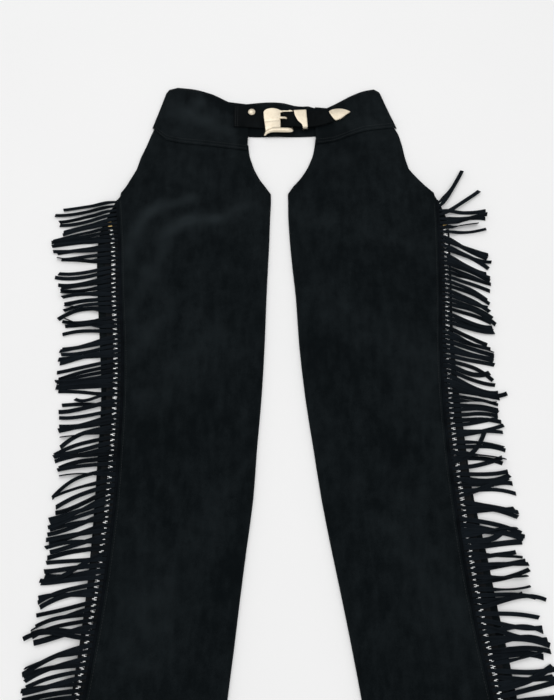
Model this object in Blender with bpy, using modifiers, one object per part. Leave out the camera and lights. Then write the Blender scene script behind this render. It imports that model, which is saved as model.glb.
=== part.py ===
"""Fringed leather chaps laid flat on a table, front side up.

The waist points to +Y, the hems to -Y, and the wearer's right leg lies at -X.
Everything is in metres, and the garment rests on z = 0. The tables below are in millimetres.
"""

import math

import bmesh
import bpy
from mathutils import Vector

MM = 0.001

# Driving sizes in metres
SUEDE = 1.6 * MM
YOKE_BACK_THICKNESS = 1.8 * MM
SEAM_GAP = 0.3 * MM
HEM_Y = -530 * MM
YOKE_LAP = 12 * MM
STRAP_THICKNESS = 2.2 * MM
CHAPE_THICKNESS = 1.4 * MM
ZIP_CHAIN_WIDTH = 6.6 * MM
ZIP_CHAIN_BOTTOM = 2.0 * MM
ZIP_CHAIN_TOP = 4.4 * MM
ZIP_FROM_SEAM = 12.5 * MM
ZIP_TAPE_THICKNESS = 0.7 * MM
FRINGE_TOP_Y = 300 * MM
FRINGE_PITCH = 7.9 * MM
STRAND_WIDTH = 5.4 * MM
STRAND_THICKNESS = 1.5 * MM
STRAND_GAP = 0.3 * MM
STRIP_WIDTH = 4.5 * MM

# The mid height of the front layer where it lies on the zip, and under the yoke
FRONT_HEIGHT = 5.6 * MM
FRONT_HEIGHT_AT_YOKE = 3.2 * MM
YOKE_HEIGHT_ON_LAP = 5.2 * MM
YOKE_HEIGHT = 3.0 * MM
ROLL_WIDTH = 6 * MM
FLOOR_CLEARANCE = 0.9 * MM

# Levels down a leg: full ones up to the hip, then a few that rise to the yoke's curved seam
FULL_LEVEL_TOP = 389 * MM
YOKE_SEAM_Y = 440 * MM
LONGEST_LEVEL = 45 * MM
LEVELS_OVER_HIP = 3

# Colours as linear red, green, blue
BLACK_SUEDE = (0.006, 0.008, 0.010)
BLACK_STRAP = (0.008, 0.009, 0.010)
BLACK_TAPE = (0.004, 0.004, 0.005)
NICKEL = (0.78, 0.72, 0.62)
BRASS = (0.62, 0.38, 0.12)
ZIP_METAL = (0.80, 0.80, 0.78)

# One row for each level down the leg, in mm. The front edge is the outer edge of the front
# panel, and the back edge is the outer edge of the back panel, which passes it below the hip.
LEG_COLUMNS = ("y", "inner", "front_edge", "back_edge")
LEG_ROWS = {
    "left": [
        (456, -48.0, -203.5, -197.8),
        (440, -47.8, -210.5, -205.2),
        (425, -47.4, -214.0, -209.2),
        (389, -43.7, -227.0, -223.4),
        (365, -36.3, -232.5, -229.0),
        (345, -27.0, -240.5, -237.2),
        (330, -16.5, -246.5, -245.2),
        (317, -8.2, -255.0, -254.5),
        (300, -8.0, -257.5, -264.5),
        (275, -9.2, -254.5, -273.0),
        (250, -10.0, -251.5, -283.5),
        (222, -10.7, -248.0, -286.0),
        (178, -12.6, -244.5, -283.6),
        (126, -14.7, -240.0, -277.7),
        (49, -17.0, -231.5, -268.2),
        (-38, -21.3, -226.0, -259.0),
        (-114, -27.3, -225.0, -257.5),
        (-186, -31.8, -225.0, -256.3),
        (-256, -40.5, -228.0, -256.0),
        (-322, -48.3, -232.5, -257.5),
        (-385, -55.2, -239.0, -261.0),
        (-446, -62.4, -246.0, -266.0),
        (-530, -70.7, -254.0, -273.5),
    ],
    "right": [
        (456, 67.2, 197.0, 191.3),
        (448, 67.1, 200.6, 195.0),
        (440, 67.0, 206.5, 201.0),
        (425, 66.7, 211.5, 206.7),
        (389, 61.0, 216.5, 212.9),
        (365, 51.5, 222.3, 218.5),
        (345, 39.5, 235.0, 231.7),
        (330, 27.0, 247.0, 245.7),
        (317, 19.5, 260.0, 260.0),
        (300, 19.8, 262.0, 268.0),
        (275, 19.8, 261.5, 277.0),
        (250, 21.0, 260.5, 280.0),
        (222, 22.6, 259.5, 279.5),
        (178, 26.3, 257.5, 277.5),
        (126, 31.3, 254.5, 274.5),
        (49, 35.4, 249.0, 271.2),
        (-38, 44.0, 246.5, 273.2),
        (-114, 54.6, 247.5, 276.0),
        (-186, 64.7, 251.0, 280.5),
        (-256, 77.1, 255.5, 291.0),
        (-322, 89.7, 262.0, 298.0),
        (-385, 101.1, 269.5, 306.3),
        (-446, 111.3, 278.8, 313.4),
        (-530, 124.2, 289.0, 322.0),
    ],
}

# One row for each rib across a yoke, from its front end to the hip, in mm.
YOKE_COLUMNS = ("low_x", "low_y", "high_x", "high_y")
YOKE_RIBS = {
    "left": [
        (-48.4, 401, -45.5, 496),
        (-84, 406, -60, 498.0),
        (-120, 411, -80, 500.5),
        (-152, 415, -104, 515),
        (-178, 418, -130, 526),
        (-194, 429, -160, 531),
        (-204, 439, -181, 530.5),
        (-210, 448, -190.5, 520),
    ],
    "right": [
        (67.2, 414, 67.2, 490.5),
        (98, 418, 88, 488.5),
        (124, 430, 105, 498),
        (144, 439, 124, 511),
        (168, 443, 146.5, 523),
        (184, 445, 164, 528),
        (196, 446, 176, 526),
        (205, 448, 182, 514),
    ],
    "back": [
        (-202, 463, -186.5, 517),
        (-175, 456, -160, 522),
        (-130, 444, -112, 512),
        (-85, 438, -75, 496),
        (-47, 431, -45, 499.5),
        (-15, 430.5, -10, 502.5),
        (10, 430.5, 15, 500.5),
        (36, 431, 36, 493),
        (67, 432, 60, 493.5),
        (100, 438, 88, 484),
        (140, 446, 125, 508),
        (175, 456, 160, 520),
        (196, 464, 177, 512),
    ],
}

# The columns of points across a panel that rolls down at one or both of its side edges
ROLLED_ONE_SIDE = (0, 0.14, 0.3, 0.46, 0.62, 0.78, 0.91, 0.965, 0.983, 0.993, 1)
ROLLED_BOTH_SIDES = (0, 0.006, 0.015, 0.03, 0.09, 0.22, 0.36, 0.5, 0.64, 0.78, 0.91, 0.97, 0.985, 0.994, 1)

# Soft ridges in the suede of the front layer, each along a straight line, in mm.
CREASE_COLUMNS = ("x0", "y0", "x1", "y1", "width", "height")
CREASES = [
    (-60, 279, -178, 242, 15, 0.9),
    (-178, 242, -205, 150, 13, 0.8),
    (-90, 370, -190, 330, 17, -0.8),
    (-70, 60, -180, -40, 24, 0.7),
    (-80, -250, -200, -300, 26, -0.7),
    (60, 262, 190, 214, 17, 0.8),
    (110, 400, 190, 350, 16, 0.8),
    (120, 120, 230, 60, 24, -0.7),
    (110, -180, 210, -120, 24, 0.7),
]

# Locks of the fringe from the hip down. Each row gives how many strands lie together, how far out
# their tips reach from the strip and how far they lie towards the waist from straight out, both
# in mm, and how close the tips lie to each other as a share of the pitch at the roots.
LOCK_COLUMNS = ("strands", "reach", "towards_waist", "closeness")
LOCKS = {
    "left": [
        (1, 85, -13, 1.00),
        (1, 100, -16, 1.00),
        (2, 92, -19, 0.82),
        (2, 89, -22, 0.70),
        (4, 105, -16, 0.46),
        (4, 103, -4, 0.46),
        (1, 91, 7, 1.00),
        (2, 99, -10, 0.89),
        (4, 94, -10, 0.59),
        (1, 90, -6, 1.00),
        (2, 89, -6, 0.65),
        (2, 92, -3, 0.64),
        (2, 91, 1, 0.64),
        (1, 88, 3, 1.00),
        (1, 92, -5, 1.00),
        (2, 93, -18, 0.62),
        (1, 94, -14, 1.00),
        (2, 95, -13, 0.82),
        (1, 95, -19, 1.00),
        (7, 98, -7, 0.37),
        (1, 90, -7, 1.00),
        (1, 90, -9, 1.00),
        (1, 89, -11, 1.00),
        (2, 90, -15, 0.77),
        (1, 90, -15, 1.00),
        (2, 87, -23, 0.75),
        (3, 92, -15, 0.56),
        (4, 86, -8, 0.49),
        (1, 86, -25, 1.00),
        (1, 82, -32, 1.00),
        (1, 80, -32, 1.00),
        (4, 89, -28, 0.64),
        (4, 88, -19, 0.75),
        (3, 85, -13, 0.77),
        (3, 86, -8, 0.76),
        (1, 88, -7, 1.00),
        (3, 87, -17, 0.90),
        (1, 87, -18, 1.00),
        (4, 88, -20, 0.59),
        (1, 85, -14, 1.00),
        (5, 88, -28, 0.50),
        (3, 84, -16, 0.53),
        (3, 82, -8, 0.60),
    ],
    "right": [
        (1, 44, 61, 1.00),
        (1, 68, 30, 1.00),
        (1, 78, 14, 1.00),
        (3, 77, 10, 0.95),
        (1, 64, 9, 1.00),
        (1, 75, 7, 1.00),
        (2, 76, -32, 0.68),
        (1, 79, -30, 1.00),
        (2, 75, -34, 0.90),
        (4, 75, -29, 0.52),
        (1, 76, -26, 1.00),
        (1, 72, -34, 1.00),
        (2, 73, -31, 0.65),
        (1, 77, -29, 1.00),
        (3, 75, -27, 0.53),
        (3, 80, -20, 0.53),
        (2, 72, -29, 0.83),
        (5, 80, -20, 0.56),
        (1, 69, -18, 1.00),
        (1, 77, -23, 1.00),
        (4, 79, -19, 0.66),
        (3, 81, -9, 0.59),
        (4, 81, -1, 0.52),
        (2, 83, 9, 0.77),
        (1, 83, 8, 1.00),
        (2, 80, -6, 0.56),
        (3, 78, -2, 0.56),
        (1, 80, 2, 1.00),
        (3, 83, 8, 0.55),
        (1, 82, 12, 1.00),
        (1, 87, 3, 1.00),
        (3, 86, -7, 0.71),
        (2, 85, -12, 0.70),
        (4, 88, -2, 0.58),
        (1, 73, 2, 1.00),
        (2, 84, 5, 0.68),
        (1, 87, 9, 1.00),
        (2, 85, 10, 1.01),
        (1, 82, 5, 1.00),
        (1, 74, 2, 1.00),
        (1, 87, 4, 1.00),
        (2, 89, -11, 0.81),
        (2, 90, -9, 0.64),
        (5, 90, -1, 0.47),
        (1, 79, 9, 1.00),
        (2, 90, 8, 0.62),
        (3, 85, 14, 0.46),
        (3, 79, 12, 0.60),
    ],
}

# A strand's path. It runs level over the zip, then falls. Share is of the reach past the zip, the
# heights are those of the middle of a lower and an upper strand in mm, and lean is the share of
# the sideways lean reached. Lower and upper strands take turns, so that tips can overlap.
CLEAR_OF_ZIP = 14.5 * MM
STRAND_COLUMNS = ("share", "lower", "upper", "lean")
STRAND_PATH = [
    (0.00, 5.6, 5.6, 0.08),
    (0.45, 2.1, 4.1, 0.52),
    (1.00, 1.15, 2.95, 1.0),
]
ROOT_HEIGHT = 5.6 * MM
LEAST_TIP_STEP = 2.2 * MM

# The billet's centre line on the belt, from its sewn end to the metal tip, in mm. Skew is how far
# a section slants along the strap for each mm across it.
BILLET_COLUMNS = ("x", "y", "width", "height", "skew")
BILLET_ROWS = [
    (-72, 470, 42, 5.2, 0),
    (-52, 469.5, 43, 5.2, 0),
    (-36, 468.5, 42, 5.2, 0),
    (-24, 464.5, 36, 3.5, 0),
    (-10, 461.5, 30, 3.4, 0),
    (2, 460.8, 29.6, 3.4, 0),
    (8, 460.8, 29.6, 3.4, 0),
    (12, 460.8, 29.6, 5.0, 0),
    (17, 460.8, 29.6, 7.9, 0),
    (23, 460.8, 29.6, 10.6, 0),
    (28, 460.8, 29.6, 11.2, 0),
    (36, 460.8, 30, 10.7, 0),
    (50, 461.0, 31, 9.4, 0),
    (64, 463.0, 31, 8.0, 0),
    (76, 465.5, 29, 7.4, -0.20),
    (84, 468.0, 26, 7.3, -0.35),
    (93, 469.5, 22, 7.0, -0.47),
]

# The buckle and what sits on the strap
BUCKLE_CENTRE_Y = 461 * MM
BUCKLE_OPENING = 31 * MM
BUCKLE_BOTTOM = 5.0 * MM
BUCKLE_THICKNESS = 3.0 * MM
HEEL_BAR_X = 27.0 * MM
HEEL_BAR_Z = 6.4 * MM
HEEL_BAR_RADIUS = 1.5 * MM
PRONG_Y = 464.5 * MM
PRONG_WIDTH = 4.0 * MM
PRONG_THICKNESS = 1.2 * MM
RIVET_CENTRE = (-41.7 * MM, 478.0 * MM)
RIVET_DIAMETER = 13.2 * MM
PRONG_HOLE = (16.4 * MM, PRONG_Y)
PRONG_HOLE_RADIUS = 3.6 * MM

# The outline of the buckle's arched plate and of the thin bar on its far side, in mm.
FRAME_COLUMNS = ("x", "y")
FRAME_OUTLINE = [
    (-21.9, 477.0),
    (-20.2, 481.0),
    (-16.0, 483.8),
    (-10.0, 485.4),
    (-4.0, 485.5),
    (2.0, 484.0),
    (8.0, 481.4),
    (14.0, 479.4),
    (20.6, 479.2),
    (23.7, 481.0),
    (27.0, 479.7),
    (29.2, 477.6),
    (29.2, 476.1),
    (8.0, 476.1),
    (8.0, 441.5),
    (-6.0, 441.0),
    (-13.0, 438.0),
    (-17.2, 434.5),
    (-18.0, 440.0),
    (-19.4, 452.0),
    (-20.9, 464.0),
]

# The thick rounded bar along the buckle's near side: its middle line and half its width, in mm.
LIP_COLUMNS = ("x", "y", "half_width")
LIP_ROWS = [
    (-19.4, 430.4, 1.4),
    (-16.8, 434.6, 2.8),
    (-12.0, 438.0, 3.9),
    (-6.0, 440.0, 4.5),
    (4.0, 440.3, 4.8),
    (14.0, 440.0, 4.9),
    (22.0, 439.8, 4.9),
    (27.5, 440.2, 4.0),
    (30.2, 440.8, 2.0),
]
LIP_FLATNESS = 0.62
LIP_SEGMENTS = 12

# The keeper's left and right sides at each distance from its middle, in mm.
KEEPER_COLUMNS = ("from_middle", "left", "right")
KEEPER_ROWS = [
    (-18.2, 45.4, 54.0),
    (-12.4, 44.0, 53.6),
    (-4.7, 37.0, 53.0),
    (7.0, 31.9, 52.2),
    (18.2, 29.9, 51.6),
]
KEEPER_MIDDLE = (42 * MM, 459.7 * MM)
KEEPER_TILT = 0.06
KEEPER_LOW = 5.0 * MM
KEEPER_HIGH = 13.4 * MM
KEEPER_CORNER = 1.5 * MM
KEEPER_THICKNESS = 1.1 * MM

# The chape's path below the heel bar and above it, seen from the side, in mm.
CHAPE_COLUMNS = ("x", "z")
CHAPE_BELOW = [(58, 3.1), (44, 3.1), (34, 3.4)]
CHAPE_ABOVE = [(36, 8.5), (50, 7.1), (64, 5.7), (72, 4.9), (88, 4.9)]

# The prong's path past its curl, out to its tip on the plate, in mm.
PRONG_COLUMNS = ("x", "z")
PRONG_TONGUE = [(22, 5.9), (15, 8.95), (6.2, 8.95)]

# The outline of the strap's metal tip, in mm.
TIP_COLUMNS = ("x", "y")
TIP_OUTLINE = [
    (102.4, 459.9),
    (98.4, 462.3),
    (94.1, 469.0),
    (90.9, 475.1),
    (90.4, 479.3),
    (95.0, 482.6),
    (101.0, 484.2),
    (107.0, 485.2),
    (113.0, 484.8),
    (119.0, 482.8),
    (124.5, 480.2),
    (128.3, 477.6),
    (124.5, 474.4),
    (119.6, 470.6),
    (111.1, 463.3),
]
TIP_BOTTOM = 4.4 * MM
TIP_THICKNESS = 3.8 * MM

# The side zips, their sliders and pulls
ZIP_TOP_Y = 266 * MM
ZIP_STOP_Y = HEM_Y + 12 * MM
SLIDER_Y = HEM_Y + 42 * MM
SLIDER_LENGTH = 14 * MM
SLIDER_WIDTH = 11 * MM
SLIDER_SKIRT = 4.9 * MM
SLIDER_TOP = 6.8 * MM
CHAIN_TO_SLIDER = 0.8 * MM
ZIP_STATION_STEP = 33 * MM
ZIP_BOX_TOP = ZIP_TOP_Y - 1 * MM
ZIP_BOX_BOTTOM = ZIP_TOP_Y - 12 * MM
CHAIN_BOTTOM_Y = SLIDER_Y + SLIDER_LENGTH / 2 + CHAIN_TO_SLIDER
STOP_TOP_Y = SLIDER_Y - SLIDER_LENGTH / 2 - CHAIN_TO_SLIDER
PULL_LENGTH = 27 * MM
PULL_AXIS_Z = 8.3 * MM
PULL_ROD_RADIUS = 0.9 * MM
PULL_HALF_THICKNESS = 0.8 * MM
PULL_HALF_WIDTH = 4.4 * MM
PULL_ARM_INNER = 2.1 * MM
PULL_TAB_START = 6.4 * MM
BRIDGE_HALF_WIDTH = 1.6 * MM
BRIDGE_REACH = 4.6 * MM
BRIDGE_TOP = 10.8 * MM


def row_value(columns, row, name):
    """The value in a row's named column, in metres."""
    return row[columns.index(name)] * MM


def row_points(columns, rows):
    """The points of a table with two columns, in metres."""
    return [tuple(row_value(columns, row, name) for name in columns) for row in rows]


def smooth_step(t):
    t = min(max(t, 0.0), 1.0)
    return t * t * (3 - 2 * t)


def mix(a, b, t):
    return a + (b - a) * t


def smooth_through(knots, values, at):
    """A cubic through the values, with knots rising, held flat past both ends."""
    if at <= knots[0]:
        return values[0]
    if at >= knots[-1]:
        return values[-1]
    last = len(knots) - 1
    i = max(k for k in range(last) if knots[k] <= at)

    def slope(k):
        before = max(k - 1, 0)
        after = min(k + 1, last)
        return (values[after] - values[before]) / (knots[after] - knots[before])

    span = knots[i + 1] - knots[i]
    t = (at - knots[i]) / span
    rise = values[i + 1] - values[i]
    a = slope(i) * span
    b = slope(i + 1) * span
    return values[i] + a * t + (3 * rise - 2 * a - b) * t**2 + (a + b - 2 * rise) * t**3


def leg_edge(side, name, y):
    rows = LEG_ROWS[side][::-1]
    knots = [row_value(LEG_COLUMNS, row, "y") for row in rows]
    values = [row_value(LEG_COLUMNS, row, name) for row in rows]
    return smooth_through(knots, values, y)


def yoke_low_edge(yoke, x):
    """The y of a yoke's lower edge at x."""
    rows = sorted(YOKE_RIBS[yoke])
    knots = [row_value(YOKE_COLUMNS, row, "low_x") for row in rows]
    values = [row_value(YOKE_COLUMNS, row, "low_y") for row in rows]
    return smooth_through(knots, values, x)


def yoke_point(yoke, along, up):
    """A point on a yoke, with along from 0 to 1 through its ribs and up from its lower edge."""
    rows = YOKE_RIBS[yoke]
    knots = [k / (len(rows) - 1) for k in range(len(rows))]

    def column(name):
        return smooth_through(knots, [row_value(YOKE_COLUMNS, r, name) for r in rows], along)

    x = mix(column("low_x"), column("high_x"), up)
    y = mix(column("low_y"), column("high_y"), up)
    return x, y


def crease_height(x, y):
    total = 0.0
    for row in CREASES:
        x0, y0, x1, y1, width, height = (row_value(CREASE_COLUMNS, row, n) for n in CREASE_COLUMNS)
        length = math.hypot(x1 - x0, y1 - y0)
        along = ((x - x0) * (x1 - x0) + (y - y0) * (y1 - y0)) / length
        across = ((x - x0) * (y1 - y0) - (y - y0) * (x1 - x0)) / length
        past_end = max(0.0, -along, along - length)
        total += height * math.exp(-((across / width) ** 2) - (past_end / (2 * width)) ** 2)
    return total


def roll_down(from_edge, height):
    """How far a sheet has dropped at this distance from an edge that rolls to the floor."""
    if from_edge >= ROLL_WIDTH:
        return 0.0
    level = 1 - max(from_edge, 0.0) / ROLL_WIDTH
    return (height - FLOOR_CLEARANCE) * (1 - math.sqrt(1 - level * level))


def plain_material(name, colour, roughness):
    material = bpy.data.materials.new(name)
    material.use_nodes = True
    shader = material.node_tree.nodes["Principled BSDF"]
    shader.inputs["Base Color"].default_value = (*colour, 1.0)
    shader.inputs["Roughness"].default_value = roughness
    shader.inputs["Metallic"].default_value = 0.0
    return material


def metal_material(name, colour, roughness):
    material = plain_material(name, colour, roughness)
    material.node_tree.nodes["Principled BSDF"].inputs["Metallic"].default_value = 1.0
    return material


def add_object(name, bm, collection, material, smooth=True):
    """Makes an object from a bmesh, with its faces pointing out."""
    mesh = bpy.data.meshes.new(name)
    bm.to_mesh(mesh)
    bm.free()
    mesh.materials.append(material)
    if smooth:
        mesh.shade_smooth()
        mesh.set_sharp_from_angle(angle=math.radians(40))
    piece = bpy.data.objects.new(name, mesh)
    collection.objects.link(piece)
    return piece


def evenly(count):
    return [k / count for k in range(count + 1)]


def sheet(name, collection, material, place, across, rows, thickness, offset):
    """A sheet of suede: a grid laid by place(u, v), then given its thickness.

    Across lists the u of each column of points, so that they can lie closer at rolled edges.
    """
    columns = len(across) - 1
    bm = bmesh.new()
    bmesh.ops.create_grid(bm, x_segments=columns, y_segments=rows, size=0.5)
    for vert in bm.verts:
        u = across[round((vert.co.x + 0.5) * columns)]
        vert.co = place(u, vert.co.y + 0.5)
    bm.normal_update()
    if sum(face.normal.z for face in bm.faces) < 0:
        bmesh.ops.reverse_faces(bm, faces=bm.faces)
    piece = add_object(name, bm, collection, material)
    solidify = piece.modifiers.new("thickness", "SOLIDIFY")
    solidify.thickness = thickness
    solidify.offset = offset
    solidify.use_even_offset = True
    return piece


def leg_levels(side):
    """The full levels of a leg, from the hem to the hip: the table's own, and halves of long gaps."""
    table = sorted(row_value(LEG_COLUMNS, row, "y") for row in LEG_ROWS[side])
    table = [y for y in table if y <= FULL_LEVEL_TOP]
    levels = table[:1]
    for y in table[1:]:
        if y - levels[-1] > LONGEST_LEVEL:
            levels.append((levels[-1] + y) / 2)
        levels.append(y)
    return levels


def leg_rows(side):
    return len(leg_levels(side)) - 1 + LEVELS_OVER_HIP


def leg_plan(side, u, v, top_edge, edges):
    """The place in plan of a leg point: v runs from the hem to the yoke's seam."""
    inner, outer = edges
    levels = leg_levels(side)
    index = round(v * leg_rows(side))
    if index < len(levels):
        y = levels[index]
        return mix(inner(y), outer(y), u), y
    rise = (index - len(levels) + 1) / LEVELS_OVER_HIP
    y = mix(FULL_LEVEL_TOP, YOKE_SEAM_Y, rise)
    for _ in range(3):
        x = mix(inner(y), outer(y), u)
        y = mix(FULL_LEVEL_TOP, top_edge(x), rise)
    return mix(inner(y), outer(y), u), y


def leg_front(side, collection, material):
    """The front panel of a leg, rolled down to the floor at the inseam and at the hip."""
    outwards = -1 if side == "left" else 1
    half = SUEDE / 2

    def inner(y):
        return leg_edge(side, "inner", y) + outwards * half

    def outer(y):
        return leg_edge(side, "front_edge", y) - outwards * half

    def top_edge(x):
        return yoke_low_edge(side, x) + YOKE_LAP

    def place(u, v):
        x, y = leg_plan(side, u, v, top_edge, (inner, outer))
        width = abs(outer(y) - inner(y))
        near_yoke = smooth_step((y - 345 * MM) / (60 * MM))
        height = mix(FRONT_HEIGHT, FRONT_HEIGHT_AT_YOKE, near_yoke)
        hip = smooth_step((y - 335 * MM) / (28 * MM))
        away_from_edges = smooth_step(u * width / (25 * MM)) * smooth_step((1 - u) * width / (25 * MM))
        soft = crease_height(x, y) * away_from_edges * (1 - near_yoke)
        z = height + soft - roll_down(u * width, height) - hip * roll_down((1 - u) * width, height)
        return x, y, z

    rows = leg_rows(side)
    return sheet(f"leg_front_{side}", collection, material, place, ROLLED_BOTH_SIDES, rows, SUEDE, 0.0)


def leg_back(side, collection, material):
    """The back panel of a leg: flat on the table, scooped out at the seat."""
    outwards = -1 if side == "left" else 1
    crotch_y = 317 * MM
    seat_scoop = 45 * MM

    def inner(y):
        at_crotch = 6 * MM * smooth_step((y - crotch_y + 25 * MM) / (30 * MM))
        above = max(0.0, (y - crotch_y) / (130 * MM))
        inset = 3.0 * MM + at_crotch + seat_scoop * above**1.5
        return leg_edge(side, "inner", y) + outwards * inset

    def outer(y):
        return leg_edge(side, "back_edge", y)

    def top_edge(x):
        return yoke_low_edge("back", x) - 2 * SEAM_GAP

    def place(u, v):
        x, y = leg_plan(side, u, v, top_edge, (inner, outer))
        return x, y, 0.0

    rows = leg_rows(side)
    return sheet(f"leg_back_{side}", collection, material, place, evenly(6), rows, SUEDE, 1.0)


def yoke_front(side, collection, material):
    """A front yoke: it laps over the leg's top edge and rolls down at the hip."""

    def place(u, v):
        x, y = yoke_point(side, u, v)
        rib_low = Vector(yoke_point(side, u, 0.0))
        rib_high = Vector(yoke_point(side, u, 1.0))
        rise = v * (rib_high - rib_low).length
        height = mix(YOKE_HEIGHT_ON_LAP, YOKE_HEIGHT, smooth_step((rise - 15 * MM) / (14 * MM)))
        hip = Vector(yoke_point(side, 1.0, v))
        from_hip = (Vector((x, y)) - hip).length
        return x, y, height - roll_down(from_hip, height)

    return sheet(f"yoke_front_{side}", collection, material, place, ROLLED_ONE_SIDE, 9, SUEDE, 0.0)


def yoke_back(collection, material):
    """The back yoke: flat on the table, its lower edge lifted a little under the buckle."""

    def place(u, v):
        x, y = yoke_point("back", u, v)
        lifted = 2.4 * MM * math.exp(-((x / (15 * MM)) ** 2))
        return x, y, lifted * (1 - smooth_step(v / 0.14))

    return sheet("yoke_back", collection, material, place, evenly(20), 8, YOKE_BACK_THICKNESS, 1.0)


def billet(collection, cutters, material):
    """The belt's billet, with the hole that the prong comes up through."""
    xs = [row_value(BILLET_COLUMNS, row, "x") for row in BILLET_ROWS]

    def column(name, x):
        return smooth_through(xs, [row_value(BILLET_COLUMNS, r, name) for r in BILLET_ROWS], x)

    halves = 2
    stations = [mix(a, b, k / halves) for a, b in zip(xs, xs[1:]) for k in range(halves)] + [xs[-1]]
    rows = len(stations) - 1

    def place(u, v):
        x = stations[round(v * rows)]
        across = (0.5 - u) * column("width", x)
        slant = column("skew", x) / MM * across
        return x + slant, column("y", x) + across, column("height", x)

    piece = sheet("belt_billet", collection, material, place, evenly(2), rows, STRAP_THICKNESS, 0.0)
    bm = bmesh.new()
    bmesh.ops.create_cone(
        bm,
        cap_ends=True,
        segments=12,
        radius1=PRONG_HOLE_RADIUS,
        radius2=PRONG_HOLE_RADIUS,
        depth=20 * MM,
    )
    bmesh.ops.translate(bm, verts=bm.verts, vec=(*PRONG_HOLE, 8 * MM))
    hole = add_object("prong_hole_cutter", bm, cutters, material, smooth=False)
    cut_from(piece, hole)
    return piece


def shape_with(piece, helper, operation):
    helper.hide_render = True
    helper.display_type = "WIRE"
    boolean = piece.modifiers.new(helper.name, "BOOLEAN")
    boolean.operation = operation
    boolean.object = helper


def cut_from(piece, helper):
    shape_with(piece, helper, "DIFFERENCE")


def join_to(piece, helper):
    shape_with(piece, helper, "UNION")


def profile_strip(name, collection, material, path, width_at, thickness):
    """A strip bent along a path of (x, z) points, spanning width_at(x) = (low_y, high_y)."""
    bm = bmesh.new()
    lows = []
    highs = []
    for x, z in path:
        low_y, high_y = width_at(x)
        lows.append(bm.verts.new((x, low_y, z)))
        highs.append(bm.verts.new((x, high_y, z)))
    for k in range(len(path) - 1):
        bm.faces.new((lows[k], lows[k + 1], highs[k + 1], highs[k]))
    piece = add_object(name, bm, collection, material)
    solidify = piece.modifiers.new("thickness", "SOLIDIFY")
    solidify.thickness = thickness
    solidify.offset = 0.0
    solidify.use_even_offset = True
    return piece


def round_the_heel_bar(radius, start, steps):
    """Points (x, z) round the heel bar from the start angle, each 30 degrees on, clockwise."""
    points = []
    for k in range(steps + 1):
        angle = math.radians(start - 30 * k)
        points.append((HEEL_BAR_X + radius * math.cos(angle), HEEL_BAR_Z + radius * math.sin(angle)))
    return points


def chape(collection, cutters, material):
    """The buckle's strap, folded round the heel bar, with a slot for the prong."""
    radius = HEEL_BAR_RADIUS + SEAM_GAP + CHAPE_THICKNESS / 2
    path = row_points(CHAPE_COLUMNS, CHAPE_BELOW)
    path += round_the_heel_bar(radius, -90, 6)
    path += row_points(CHAPE_COLUMNS, CHAPE_ABOVE)

    def width_at(x):
        rise = 5.5 * MM * smooth_step((x - 36 * MM) / (60 * MM))
        middle = BUCKLE_CENTRE_Y + rise
        half = 14.5 * MM - 1.5 * MM * smooth_step((x - 66 * MM) / (24 * MM))
        return middle - half, middle + half

    piece = profile_strip("belt_chape", collection, material, path, width_at, CHAPE_THICKNESS)
    bm = bmesh.new()
    bmesh.ops.create_cube(bm, size=1.0)
    bmesh.ops.scale(bm, verts=bm.verts, vec=(11 * MM, PRONG_WIDTH + 1.2 * MM, 20 * MM))
    bmesh.ops.translate(bm, verts=bm.verts, vec=(HEEL_BAR_X - 1.5 * MM, PRONG_Y, HEEL_BAR_Z))
    slot = add_object("chape_slot_cutter", bm, cutters, material, smooth=False)
    cut_from(piece, slot)
    return piece


def raised_plate(name, collection, material, outline, bottom, thickness, rim):
    """A flat plate of this outline whose upper rim is rounded off."""
    bm = bmesh.new()
    face = bm.faces.new([bm.verts.new((x, y, bottom)) for x, y in outline[::-1]])
    raised = bmesh.ops.extrude_face_region(bm, geom=[face])
    top = [v for v in raised["geom"] if isinstance(v, bmesh.types.BMVert)]
    bmesh.ops.translate(bm, verts=top, vec=(0, 0, thickness))
    bmesh.ops.recalc_face_normals(bm, faces=bm.faces)
    top_rim = [e for e in bm.edges if min(v.co.z for v in e.verts) > bottom + thickness / 2]
    bmesh.ops.bevel(
        bm, geom=top_rim, offset=rim, segments=2, profile=0.5, affect="EDGES", material=-1
    )
    return add_object(name, bm, collection, material)


def buckle_lip(collection, material):
    """The thick bar on the near side: an oval section that swells along its curve."""
    rows = [dict(zip(LIP_COLUMNS, (value * MM for value in row))) for row in LIP_ROWS]
    bm = bmesh.new()
    rings = []
    for k, row in enumerate(rows):
        before = rows[max(k - 1, 0)]
        after = rows[min(k + 1, len(rows) - 1)]
        along = Vector((after["x"] - before["x"], after["y"] - before["y"], 0)).normalized()
        across = Vector((-along.y, along.x, 0))
        half_height = LIP_FLATNESS * row["half_width"]
        middle = Vector((row["x"], row["y"], BUCKLE_BOTTOM + half_height))
        ring = []
        for step in range(LIP_SEGMENTS):
            angle = 2 * math.pi * step / LIP_SEGMENTS
            offset = across * row["half_width"] * math.cos(angle)
            offset.z = half_height * math.sin(angle)
            ring.append(bm.verts.new(middle + offset))
        rings.append(ring)
    for ring, after in zip(rings, rings[1:]):
        for k in range(LIP_SEGMENTS):
            following = (k + 1) % LIP_SEGMENTS
            bm.faces.new((ring[k], ring[following], after[following], after[k]))
    bm.faces.new(rings[0])
    bm.faces.new(rings[-1])
    bmesh.ops.recalc_face_normals(bm, faces=bm.faces)
    return add_object("buckle_lip", bm, collection, material)


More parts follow.
